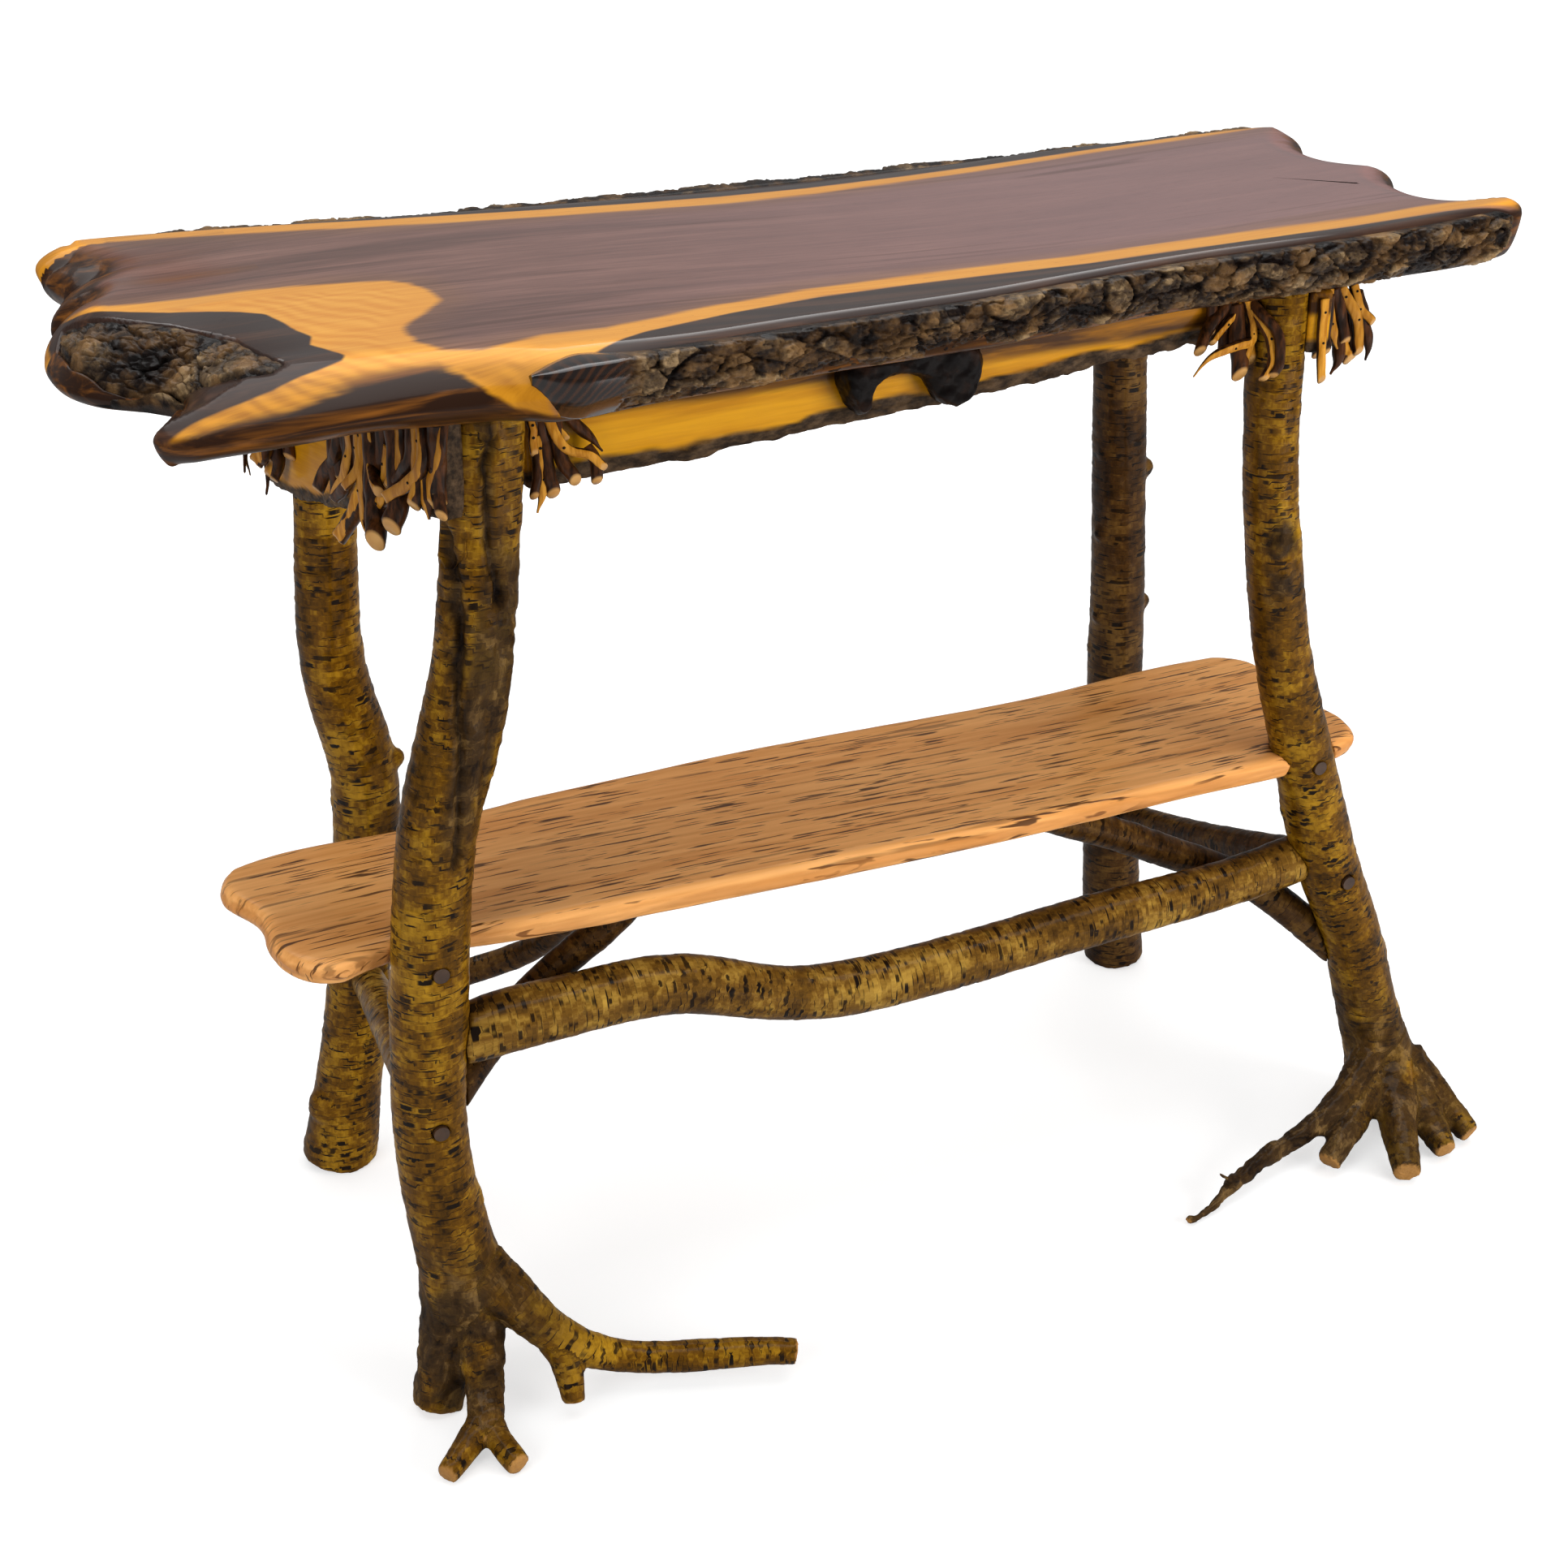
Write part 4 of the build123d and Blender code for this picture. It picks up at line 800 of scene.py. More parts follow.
# ------------------------------------------------------------------ furrowed bark
def bark_height(points, seed):
    """Furrowed bark from 0 to 1: layers in steps, cracked into uneven blocks and chips, over broad swells."""
    bend = np.stack([fractal(points, 0.030, 3, seed + axis) for axis in range(3)], axis=-1)
    near, second, owner = plates(points + 0.0060 * bend, (0.031, 0.031, 0.0145), seed)
    block = ease(second - near, 0.0, 0.13)
    chip_near, chip_second, chip_owner = plates(points + 0.003 * bend, (0.0120, 0.0120, 0.0052), seed + 3)
    chip = ease(chip_second - chip_near, 0.0, 0.16)
    swell = fractal(points, 0.045, 3, seed + 11)
    level = 2.6 + 2.6 * fractal(points + 0.005 * bend, (0.030, 0.030, 0.011), 3, seed + 13)
    stair = (np.floor(level) + ease(level - np.floor(level), 0.70, 1.0)) / 5
    step = block * (0.16 + 0.26 * owner) + 0.48 * stair + chip * (0.03 + 0.20 * chip_owner) + 0.10 * swell
    return np.clip(step + 0.07 * fractal(points, 0.005, 3, seed + 5), 0, 1.15), owner


def bark_edge_piece(name, stations, outward, depth, seed, nose=0.0):
    """Bark along one long edge: a closed section carried along the edge, its outer face raised into plates.

    The section rolls out over the rim by a quarter of a sine, bulges down the face by half a sine, and closes
    under it. Its ends draw in, and its first stretch, as long as nose, is worn smooth and rounded.
    """
    rows = evenly(smooth_line(stations, 1600), 700, 2) * MM
    count = len(rows)
    x, y, under = rows.T
    along = np.concatenate([[0], np.cumsum(np.hypot(np.diff(x), np.diff(y)))])
    grown = np.sqrt(ease(along, -0.004, max(nose * 0.6, 0.020)))
    grown = grown * np.sqrt(ease(along[-1] - along, -0.002, 0.022))
    rough = ease(along, nose * 0.85, nose * 0.85 + 0.018) if nose else np.ones(count)
    bulge = 1 - ease(along, nose * 0.55, nose * 1.3) if nose else np.zeros(count)
    foot_z = SLAB_UNDERSIDE + 0.0035
    top_z = TABLE_TOP - 0.0045 + 0.0016 * bulge
    middle = (top_z + foot_z) / 2 + 0.004
    rim = 0.16                  # share of the section at which the rim ends
    share = np.linspace(0, 1, 50)
    columns = []
    for s in share:
        lean = np.clip((s - rim) / 0.66, 0, 1)
        height = top_z + (foot_z - top_z) * lean
        out = depth * (0.62 + 0.38 * np.sin(lean * tau / 2)) + 0.004 * bulge
        if s < rim:
            height = height + 0.0015 * np.sin(s / rim * tau / 2)
            start = -0.006 - 0.012 * bulge
            out = start + (depth * 0.62 + 0.004 * bulge - start) * np.sin(s / rim * tau / 4)
        closing = np.clip((s - 0.82) / 0.18, 0, 1)
        across = out * grown - under * lean ** 1.5 * 1.02 - closing * (out * grown + 0.010)
        z = middle + (height - middle) * (0.45 + 0.55 * grown)
        columns.append(np.column_stack([x, y + outward * across, z]))
    points = np.stack(columns, axis=1)
    raised, owner = bark_height(points.reshape(-1, 3), seed)
    face = np.sin(np.clip((share - 0.03) / 0.85, 0, 1) * tau / 2) ** 0.5
    lift = (raised.reshape(count, -1) - 0.55) * face[None, :] * (rough * grown)[:, None] * 0.0145
    points[..., 1] += outward * lift
    points[..., 2] += lift * 0.35 * np.cos(np.clip((share - 0.1) / 0.75, 0, 1) * tau / 2)[None, :]
    points[..., 2] = np.clip(points[..., 2], SLAB_UNDERSIDE + 0.0012, TABLE_TOP - 0.0010)
    sides = len(share)
    faces = sheet_faces(count, sides, close_columns=True)
    first = list(range(sides))
    last = [(count - 1) * sides + k for k in range(sides)]
    caps = (first, last[::-1])
    if outward > 0:
        faces = faces[:, ::-1]
        caps = (first[::-1], last)
    smooth = np.repeat(1 - rough, sides)
    return build(name, points, faces, caps, attributes={"lift": raised, "patch": owner, "smooth": smooth})


def crotch_bark_piece():
    """Bark grown into the crotch: rings from a centre to its outline follow the wood and rise into plates.

    A last ring goes down past the outline, and a ring at the centre closes it below.
    """
    edge = slab_edge()
    outline = evenly(smooth_line(CROTCH_BARK, 900, closed=True), 320, 2)[:, :2] * MM
    centre = np.array(CROTCH_CENTRE) * MM
    shares = np.linspace(0.0, 1.0, 64)
    flat = np.concatenate([centre + (outline - centre) * share for share in shares])
    level = slab_top_height(flat, edge)
    step = 0.0012
    slope_x = (slab_top_height(flat + (step, 0.0), edge) - level) / step
    slope_y = (slab_top_height(flat + (0.0, step), edge) - level) / step
    push = np.clip(np.stack([-slope_x, -slope_y, np.ones(len(flat))], axis=1), -2.5, 2.5)
    push /= np.linalg.norm(push, axis=1)[:, None]
    raised, owner = bark_height(np.column_stack([flat, level * 0.9]) + (0.3, 0.1, 0.2), 31)
    shown = ease(outline_depth(flat, outline), 0.0, 0.007)
    lift = (raised - 0.50) * 0.0105 * shown - 0.0035 * (1 - shown)
    flat = flat + push[:, :2] * lift[:, None]
    z = np.clip(level + push[:, 2] * lift, SLAB_UNDERSIDE + 0.001, TABLE_TOP - 0.0008)
    ring = len(outline)
    past = outline + (outline - centre) / np.linalg.norm(outline - centre, axis=1)[:, None] * 0.0008
    base = np.column_stack([past, np.minimum(z[-ring:] - 0.004, SLAB_UNDERSIDE + 0.003)])
    floor = np.column_stack([np.repeat(centre[None], ring, axis=0), np.full(ring, SLAB_UNDERSIDE + 0.001)])
    points = np.concatenate([np.column_stack([flat, z]), base, floor])
    points[:, 0] = np.maximum(points[:, 0], cad_box[0][0] + 0.0003)
    below = np.zeros(2 * ring)
    return build("crotch_bark", points, sheet_faces(len(shares) + 2, ring, close_columns=True),
                 attributes={"lift": np.concatenate([raised, below]), "patch": np.concatenate([owner, below]),
                             "smooth": np.zeros(len(points))})


# ------------------------------------------------------------------ branches
# Roots of the front legs, as (x, y, z, radius) in millimetres, thick end first.
FRONT_LEFT_ROOTS = [
    [(-383, -138, 95, 27), (-396, -146, 50, 23), (-411, -157, 0, 20)],
    [(-372, -145, 95, 23), (-374, -164, 58, 18), (-384, -198, 24, 15), (-388, -212, 19, 13)],
    [(-386, -205, 20, 12), (-410, -226, 13, 11), (-431, -243, 9, 9)],
    [(-385, -204, 19, 11), (-383, -232, 13, 10), (-377, -256, 9, 9)],
    [(-372, -142, 125, 23), (-350, -164, 96, 20), (-317, -186, 57, 17), (-283, -194, 34, 13.5),
     (-209, -219, 25, 12.5), (-141, -245, 24, 11)],
    [(-322, -184, 60, 15), (-317, -202, 34, 12), (-318, -214, 13, 9)]]
FRONT_RIGHT_ROOTS = [
    [(497, -142, 80, 18), (452, -170, 55, 14), (397, -182, 30, 10), (345, -190, 22, 9),
     (297, -206, 12, 7), (247, -218, 6, 3)],
    [(500, -150, 62, 20), (444, -190, 36, 14), (405, -209, 12, 11.5)],
    [(506, -150, 60, 24), (480, -208, 31, 18), (457, -253, 13, 13)],
    [(520, -150, 50, 22), (516, -206, 24, 16), (513, -239, 11, 11)],
    [(526, -150, 50, 24), (541, -192, 27, 16), (550, -228, 11, 11)],
    [(312, -200, 16, 5), (298, -206, 26, 4), (287, -204, 34, 3)]]
# Stretches of the front legs' trunks that are made round, as rows of heights, x, y and radii: the left one's
# seat for the apron, which is filled, and the right one's patch of warts, where two knots are taken down.
LEFT_TRUNK = [(640, 675, 735, 794), (-328, -323, -317, -312), (-116, -114, -112, -110),
              (25.5, 25.3, 25, 24.5)]
RIGHT_TRUNK = [(545, 563, 620), (346, 344, 336), (-120, -119, -117), (23.6, 23.4, 23.2)]
ROOT_TOP = 0.125                # below this a front leg divides into roots
TRUNK_TOP = 0.788               # above this no trunk is made round
LINE_GAP = 1.3                  # between the starts of two lines laid out one after the other
# Clefts in the front of the front left leg, as (x, z).
CLEFTS = [[(-315, 800), (-316, 762), (-319, 734), (-320, 701), (-316, 686), (-315, 658)],
          [(-350, 724), (-345, 688), (-343, 650), (-348, 601), (-350, 566), (-354, 522), (-362, 470)]]


def core_line(points, axis, spacing=0.012):
    """Line through the middle of a branch: the mean point of each slice along an axis, evened out."""
    places = points[:, axis]
    slices = np.floor((places - places.min()) / spacing).astype(int)
    count = np.bincount(slices)
    full = count > 8
    rows = np.stack([np.bincount(slices, points[:, k])[full] / count[full] for k in range(3)], axis=1)
    for _ in range(3):
        rows[1:-1] = (rows[:-2] + rows[1:-1] * 2 + rows[2:]) / 4
    return np.column_stack([rows, np.zeros(len(rows))])


def straighten(points, lines):
    """Place on the straightened branch: two directions across the nearest line and the distance along it.

    The lines are laid out one after the other, so that their patterns differ.
    """
    best = np.full(len(points), 1e9)
    skin = np.zeros((len(points), 3))
    start = 0.0
    for line in lines:
        rows = evenly(line, max(int(line_length(line) / 0.004), 4))
        _, across, up = frames_along(rows)
        along = np.linspace(0, 1, len(rows)) * line_length(rows) + start
        for first in range(0, len(points), CHUNK):
            chunk = slice(first, first + CHUNK)
            part = points[chunk]
            away = np.linalg.norm(part[:, None] - rows[None, :, :3], axis=2) - rows[None, :, 3]
            near = away.argmin(axis=1)
            gap = away[np.arange(len(part)), near]
            offset = part - rows[near, :3]
            own = np.stack([(offset * across[near]).sum(axis=1), (offset * up[near]).sum(axis=1),
                            along[near]], axis=1)
            closer = gap < best[chunk]
            skin[chunk] = np.where(closer[:, None], own, skin[chunk])
            best[chunk] = np.where(closer, gap, best[chunk])
        start += LINE_GAP
    return skin


def round_trunk(points, stations, pick):
    """Round a stretch of trunk: pick gives the larger or smaller of a point's reach and the radius."""
    heights, xs, ys, radii = (np.array(row) * MM for row in stations)
    z = points[:, 2]
    centre = np.stack([np.interp(z, heights, xs), np.interp(z, heights, ys)], axis=1)
    reach = np.linalg.norm(points[:, :2] - centre, axis=1)
    within = (z > heights[0]) & (z < min(heights[-1], TRUNK_TOP))
    wanted = np.where(within, pick(reach, np.interp(z, heights, radii)), reach)
    points[:, :2] = centre + (points[:, :2] - centre) * (wanted / reach)[:, None]


def branch_lines(stem, axis, roots):
    """Lines that the bark follows: the stem's core, down to the floor over roots, and each root's route."""
    core = core_line(stem, axis)
    core[:, 3] = np.median(np.linalg.norm(stem[:, None] - core[None, ::6, :3], axis=2).min(axis=1))
    if roots:
        upwards = core[0, 2] < core[-1, 2]
        foot = (core[0] if upwards else core[-1]).copy()
        foot[2] = 0.0
        core = np.vstack([foot, core] if upwards else [core, foot])
    return [core] + [smooth_line(np.array(route) * MM, 60) for route in roots]


def sawn_ends(points, normals, roots):
    """1 on the sawn faces of the roots and 0 elsewhere: past the end of a route, near it and facing on."""
    cut = np.zeros(len(points))
    for route in roots:
        near_end, end = (np.array(station[:3]) * MM for station in route[-2:])
        way = (end - near_end) / np.linalg.norm(end - near_end)
        past = ease((points - end) @ way, -0.0030, -0.0012)
        close = ease(-np.linalg.norm(points - end, axis=1), -0.020, -0.017)
        cut = np.maximum(cut, past * close * (points[:, 2] > 0.002) * (normals @ way > 0.55))
    return cut


def branch_piece(node, axis, voxel=0.0026, roots=(), trunk=None, rough=None, knots=(), grooves=None):
    """Skin of a leg or branch, moved along its normals by the lumps, rings, scales and knots of its bark.

    Lumps and rings are noise on the straightened branch, and low warts are the middles of scattered plates.
    A knot is x, y, z, size and height in millimetres.
    """
    piece = skin_of(node, node + "_bark", voxel)
    points, normals = read_points(piece.data)
    if trunk:
        round_trunk(points, *trunk)
    stem = points[points[:, 2] > ROOT_TOP] if roots else points
    skin = straighten(points, branch_lines(stem, axis, roots))
    scaly = rough(points) if rough else np.zeros(len(points))
    ring = skin * (1, 1, 5)
    lift = 0.0009 * noise(skin, (0.05, 0.05, 0.07), 3) + 0.0005 * noise(ring, (0.03, 0.03, 0.03), 8)
    lift += 0.00025 * noise(ring, (0.012, 0.012, 0.014), 21)
    near, _, owner = plates(skin, (0.05, 0.05, 0.09), 17)
    lift += 0.0016 * ease(-near, -0.16, -0.05) * (owner > 0.45)
    lift += scaly * (0.0015 * fractal(points, (0.009, 0.009, 0.016), 3, 41) - 0.0003)
    if grooves:
        lift -= grooves(points)
    for x, y, z, size, height in knots:
        away = np.linalg.norm(points - np.array((x, y, z)) * MM, axis=1)
        lift += height * MM * ease(-away, -size * MM, -size * 0.35 * MM)
    points = points + normals * lift[:, None]
    points[:, 2] = np.maximum(points[:, 2], FLOOR_GAP)
    return reshape_skin(piece, points, skin=skin, rough=scaly, cut=sawn_ends(points, normals, roots))


def cleft_distance(points):
    """Distance from each point, as seen from the front, to the nearest cleft, wandering by noise.

    Points behind the front of the leg count as far away.
    """
    flat = points[:, [0, 2]] + 0.0028 * np.stack([fractal(points, 0.016, 3, 6 + k) for k in range(2)], axis=1)
    away = np.full(len(points), 1e9)
    for line in CLEFTS:
        away = np.minimum(away, line_distance(flat, smooth_line(np.array(line) * MM, 30))[0])
    return away + 0.05 * (points[:, 1] > -0.118)


def cleft_grooves(points):
    """Depth of the clefts in the front left leg, eased from their borders to their lines."""
    return 0.0060 * ease(-cleft_distance(points), -0.0055, -0.0008)


def left_foot_rough(points):
    """Where the front left leg is scaly: its foot, its clefts and the stem between and right of them."""
    foot = ease(-points[:, 2], -0.21, -0.13) * ease(fractal(points, 0.03, 3, 5), -0.9, -0.1)
    foot = foot * ease(-np.linalg.norm(points - (-0.386, -0.146, 0.060), axis=1), -0.120, -0.045)
    stem = ease(points[:, 0] - 0.25 * (points[:, 2] - 0.60), -0.350, -0.340) * ease(points[:, 2], 0.44, 0.52)
    stem = stem * ease(-points[:, 2], -0.74, -0.68) * (points[:, 1] < -0.11)
    stem = stem * ease(fractal(points, (0.02, 0.02, 0.05), 3, 8), -1.1, 0.0)
    return np.maximum(np.maximum(foot * 0.95, stem * 0.9), ease(-cleft_distance(points), -0.008, -0.001))


def right_foot_rough(points):
    """Where the front right leg is scaly: its long dark root, its toes and a warty patch."""
    root = ease(-points[:, 0], -0.475, -0.425) * ease(-points[:, 2], -0.09, -0.06)
    foot = ease(-points[:, 2], -0.19, -0.09) * ease(fractal(points, 0.03, 3, 15), -0.9, -0.2)
    wart = ease(-np.linalg.norm((points - (0.334, -0.141, 0.578)) * (1.8, 1.0, 0.8), axis=1), -0.036, -0.020)
    wart = wart * ease(fractal(points, 0.014, 3, 16), -0.7, 0.1)
    return np.maximum(np.maximum(root, foot * 0.80), wart)


# ------------------------------------------------------------------ boards, shelf and pull
SLICE = 0.006                   # length of board over which its lowest point is found
BARK_DEPTH = 0.011              # how far the bark reaches up from a board's lower edge


def board_piece(node, along, front, heart):
    """Skin of a live-edge board: bark, pushed in and out by noise, along its lower edge, and above it
    heartwood with the slab's painted shadow.

    The left apron gets shallower towards its front end, whose bark crust spreads behind the twigs as painted
    shade.
    """
    piece = skin_of(node, node + "_wood", 0.0022, 3)
    points, normals = read_points(piece.data)
    outward = np.array((*front, 0.0))
    if node == "left_apron":
        shallow = 1 - 0.28 * ease(-points[:, 1], -0.03, 0.08)
        points[:, 2] = SLAB_UNDERSIDE - (SLAB_UNDERSIDE - points[:, 2]) * shallow
    place = points @ np.array((*along, 0.0))
    slices = np.floor((place - place.min()) / SLICE).astype(int)
    lowest = np.full(slices.max() + 1, 9.0)
    np.minimum.at(lowest, slices, points[:, 2])
    edge = np.interp(place, place.min() + (np.arange(len(lowest)) + 0.5) * SLICE, lowest)
    above = points[:, 2] - edge
    flat = np.stack([place, np.zeros(len(points)), points[:, 2]], axis=1)
    ragged = 0.0035 * fractal(flat, (0.05, 1, 0.02), 3, 3)
    rough = ease(-above, -BARK_DEPTH - 0.0015 + ragged, -BARK_DEPTH + 0.0015 + ragged)
    torn = 0.0032 * fractal(flat, (0.030, 1, 0.012), 4, 12) * ease(-above, -BARK_DEPTH, -0.002)
    points[:, 2] += np.clip(torn, -0.004, 0.0)
    points = points + normals * (rough * (0.0011 * fractal(points * (1, 1, 2), 0.016, 4, 9)))[:, None]
    points[:, 2] = np.minimum(points[:, 2], SLAB_UNDERSIDE)
    wood = np.stack([place, points @ outward, points[:, 2] - edge * 0.55], axis=1)
    # Brown towards the top, under the slab: heartwood and the slab's painted shadow.
    top = ease(points[:, 2], SLAB_UNDERSIDE - heart * 1.9, SLAB_UNDERSIDE - heart * 0.5)
    # The left apron's front end takes the dark bark crust as painted shade between and behind the twigs.
    if node == "left_apron":
        faces_out = np.maximum(ease(normals @ outward, 0.2, 0.6), points[:, 1] < -0.095)
        rough = np.maximum(rough, ease(-points[:, 1], 0.028, 0.045) * faces_out)
    return reshape_skin(piece, points, wood=wood, heart=top, rough=rough)


def shelf_piece():
    """Shelf board whose edges are rippled by noise along their normals; its grain bends with a sine of x."""
    piece = skin_of("lower_shelf", "shelf_wood", 0.0028, 5)
    points, normals = read_points(piece.data)
    low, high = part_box("lower_shelf")
    side = ease(1 - np.abs(normals[:, 2]), 0.05, 0.6)
    ripple = 0.0022 * fractal(points, (0.060, 0.060, 0.012), 3, 5)
    ripple += 0.0007 * noise(points, (0.02, 0.02, 0.005), 6)
    points = points + normals * (side * ripple)[:, None]
    points[:, 2] = np.clip(points[:, 2], low[2], high[2])
    wood = points.copy()
    wood[:, 1] += 0.012 * np.sin(points[:, 0] * 5)
    return reshape_skin(piece, points, wood=wood, heart=side * 0.48, rough=np.zeros(len(points)))


def pull_piece():
    """Knobbly burl: the pull's skin pushed out into the middles of scattered plates, except at its back."""
    piece = skin_of("drawer_pull", "burl_pull", 0.0013, 8)
    points, normals = read_points(piece.data)
    near, _, owner = plates(points, 0.017, 23)
    knobs = 0.0030 * (1 - ease(near, 0.1, 0.75)) * (0.3 + 0.7 * owner) - 0.0010
    knobs += 0.0008 * fractal(points, 0.006, 3, 24)
    outer = ease(-points[:, 1], 0.1008, 0.104)
    points = points + normals * (knobs * outer)[:, None]
    points[:, 2] = np.minimum(points[:, 2], SLAB_UNDERSIDE - 0.003)
    return reshape_skin(piece, points)


# ------------------------------------------------------------------ twigs
# Each twig: how it looks, its radius, and its line as (along the board, below the slab, out from the
# board), in millimetres. Looks: D dark bark, B shaved face, M half bare; a small letter ends in a point.
LEFT_TWIGS = [
    ("D", 4.6, [(28, 6, 6), (31, 66, 6), (55, 95, 9), (64, 110, 13)]),
    ("b", 4.2, [(-4, 6, 8), (1, 56, 9), (9, 81, 12), (35, 107, 15)]),
    ("D", 4.4, [(8, 8, 5), (11, 74, 6), (15, 91, 9), (36, 110, 12)]),
    ("B", 3.4, [(-16, 6, 8), (-19, 51, 11), (-22, 69, 14), (-6, 86, 18)]),
    ("B", 3.9, [(-40, 6, 8), (-45, 37, 11), (-48, 58, 14), (-73, 68, 20)]),
    ("M", 5.4, [(-22, 40, 6), (-10, 93, 9), (5, 116, 13), (19, 133, 17)]),
    ("b", 4.4, [(-25, 30, 7), (-23, 87, 11), (-21, 108, 13), (-38, 118, 16)]),
    ("b", 4.0, [(-70, 40, 8), (-65, 76, 14), (-39, 98, 15), (-37, 108, 16)]),
    ("D", 5.2, [(-60, 6, 6), (-54, 54, 7), (-57, 75, 9)]),
    ("M", 4.6, [(-92, 6, 6), (-92, 43, 10), (-81, 63, 14)]),
    ("D", 4.8, [(-110, 6, 5), (-107, 39, 9), (-79, 66, 15)]),
    ("B", 4.0, [(-124, 6, 6), (-130, 34, 10), (-112, 53, 15), (-86, 69, 20)]),
    ("D", 7.0, [(-40, 26, 6), (-53, 84, 14), (-66, 106, 22)]),
    ("D", 6.6, [(-80, 16, 6), (-90, 70, 13), (-92, 88, 19)]),
    ("M", 4.8, [(-116, 6, 5), (-122, 50, 10), (-121, 64, 14)]),
    ("m", 5.2, [(-124, 36, 4), (-128, 62, 8), (-131, 72, 9)]),
    ("B", 3.8, [(-138, 6, -2), (-140, 21, 1), (-133, 46, 5), (-132, 61, 8)]),
    ("D", 3.8, [(-131, 10, -4), (-135, 50, 2), (-142, 66, 4)]),
    ("D", 4.6, [(-8, 6, 4), (-2, 96, 5)]),
    ("D", 4.6, [(-74, 6, 4), (-72, 62, 5)]),
    ("D", 4.4, [(-100, 6, 3), (-101, 70, 4)]),
    ("d", 4.6, [(42, 30, 4), (46, 100, 6), (58, 120, 9)])]
BACK_LEFT_TWIGS = [
    ("d", 4.6, [(176, 8, 6), (182, 100, 24), (166, 124, 34)]),
    ("M", 6.2, [(168, 8, 6), (148, 92, 20), (158, 116, 27)]),
    ("b", 3.6, [(190, 8, 5), (182, 110, 26), (162, 126, 31)]),
    ("d", 5.0, [(172, 20, 4), (170, 126, 14), (165, 145, 19)]),
    ("M", 6.4, [(160, 12, 4), (159, 108, 9), (166, 133, 13)]),
    ("D", 4.8, [(150, 8, 3), (146, 112, 5)]), ("D", 4.6, [(200, 8, 4), (196, 118, 8)])]
DRAWER_LEFT_TWIGS = [
    ("D", 3.6, [(-274, 6, 6), (-273, 42, 8), (-274, 60, 10), (-276, 74, 12)]),
    ("B", 3.0, [(-276, 22, 9), (-275, 44, 12)]),
    ("b", 4.2, [(-271, 34, 7), (-270, 70, 10), (-275, 87, 12)]),
    ("D", 5.4, [(-268, 16, 5), (-266, 54, 8), (-264, 75, 11)]),
    ("D", 5.2, [(-260, 12, 5), (-257, 49, 11), (-250, 65, 17)]),
    ("B", 3.4, [(-267, 6, 8), (-264, 24, 11), (-255, 43, 15), (-239, 49, 18), (-230, 58, 19)]),
    ("D", 4.4, [(-238, 46, 10), (-233, 56, 15), (-233, 68, 17)]),
    ("B", 2.6, [(-264, 6, 9), (-260, 24, 10), (-252, 38, 11)]),
    ("d", 4.2, [(-258, 6, 4), (-247, 25, 6), (-236, 38, 9), (-226, 50, 11)])]
DRAWER_RIGHT_TWIGS = [
    ("D", 4.6, [(287, 6, 5), (277, 15, 7), (264, 28, 10), (257, 40, 14)]),
    ("B", 2.6, [(294, 6, 8), (290, 14, 10), (278, 24, 13), (267, 35, 15)]),
    ("b", 3.7, [(297, 6, 10), (302, 20, 15), (297, 36, 20), (275, 39, 22), (261, 43, 22), (249, 57, 20)]),
    ("B", 3.3, [(299, 6, 11), (301, 24, 16), (299, 36, 19), (294, 52, 20)]),
    ("D", 6.6, [(290, 10, 6), (291, 35, 12), (292, 61, 20)]),
    ("B", 3.9, [(298, 6, 8), (305, 20, 18), (310, 35, 28), (310, 52, 32), (306, 63, 31)]),
    ("M", 4.6, [(300, 14, 6), (301, 37, 13), (301, 52, 18)]),
    ("D", 4.0, [(300, 6, 7), (307, 18, 24), (314, 32, 33), (315, 50, 35), (311, 60, 35)]),
    ("D", 4.6, [(283, 6, 4), (284, 46, 6)]), ("D", 4.0, [(271, 6, 4), (272, 30, 5)]),
    ("D", 4.6, [(296, 8, 4), (298, 54, 7)])]
RIGHT_TWIGS = [
    ("B", 3.6, [(352, 6, 35), (352, 30, 36), (354, 68, 39)]),
    ("b", 4.6, [(370, 6, 14), (371, 26, 16), (378, 43, 18), (383, 52, 19)]),
    ("D", 5.4, [(378, 6, 10), (386, 29, 12), (392, 49, 15)]),
    ("B", 4.2, [(384, 6, 12), (399, 29, 15), (403, 42, 16), (405, 58, 17)]),
    ("B", 3.5, [(398, 6, 10), (404, 24, 13), (417, 36, 15)]),
    ("d", 4.8, [(405, 14, 6), (418, 50, 10), (416, 68, 12)]),
    ("d", 5.0, [(386, 26, 9), (389, 62, 13), (382, 75, 15)]),
    ("M", 4.8, [(387, 26, 8), (392, 49, 11), (397, 64, 14)]),
    ("D", 4.6, [(396, 12, 5), (401, 41, 8), (403, 65, 10)]),
    ("D", 4.8, [(371, 6, 4), (373, 58, 8)]), ("D", 4.8, [(382, 6, 2), (386, 54, 4)]),
    ("D", 4.4, [(361, 6, 27), (363, 50, 28)])]
BACK_RIGHT_TWIGS = [
    ("BDMBD"[k], 4.4, [(156 + 12 * k, 6, 6), (158 + 12 * k, 40, 9), (154 + 13 * k, 62 + 3 * (k % 3), 15)])
    for k in range(5)]
# Dark twigs close to the left apron, behind the others.
LEFT_TWIGS += [
    ("D", 5.2, [(-136 + 13 * k, 6, 1), (-134 + 13 * k + 5 * (k % 3), 58 + 4 * k % 11 + 2.4 * k, 3)])
    for k in range(14)]
# Faces of the boards that carry twigs: a point in millimetres, and the directions along the board and out.
LEFT_FACE = ((-363.8, 0.0), (-0.120, 0.993), (-0.993, -0.120))
RIGHT_FACE = ((386.4, 0.0), (0.192, 0.981), (0.981, -0.192))
FRONT_FACE = ((0.0, -100.0), (1.0, 0.0), (0.0, -1.0))
TWIG_ROWS = 44
TWIG_SIDES = 20
SHAVED_FROM = {"B": 0.42, "M": 0.68}    # how far round towards the front the wood is bare
BRAD_ROWS = (7, 24)
BRAD_TINT = -4.0                # the look paints a tint below -2 black


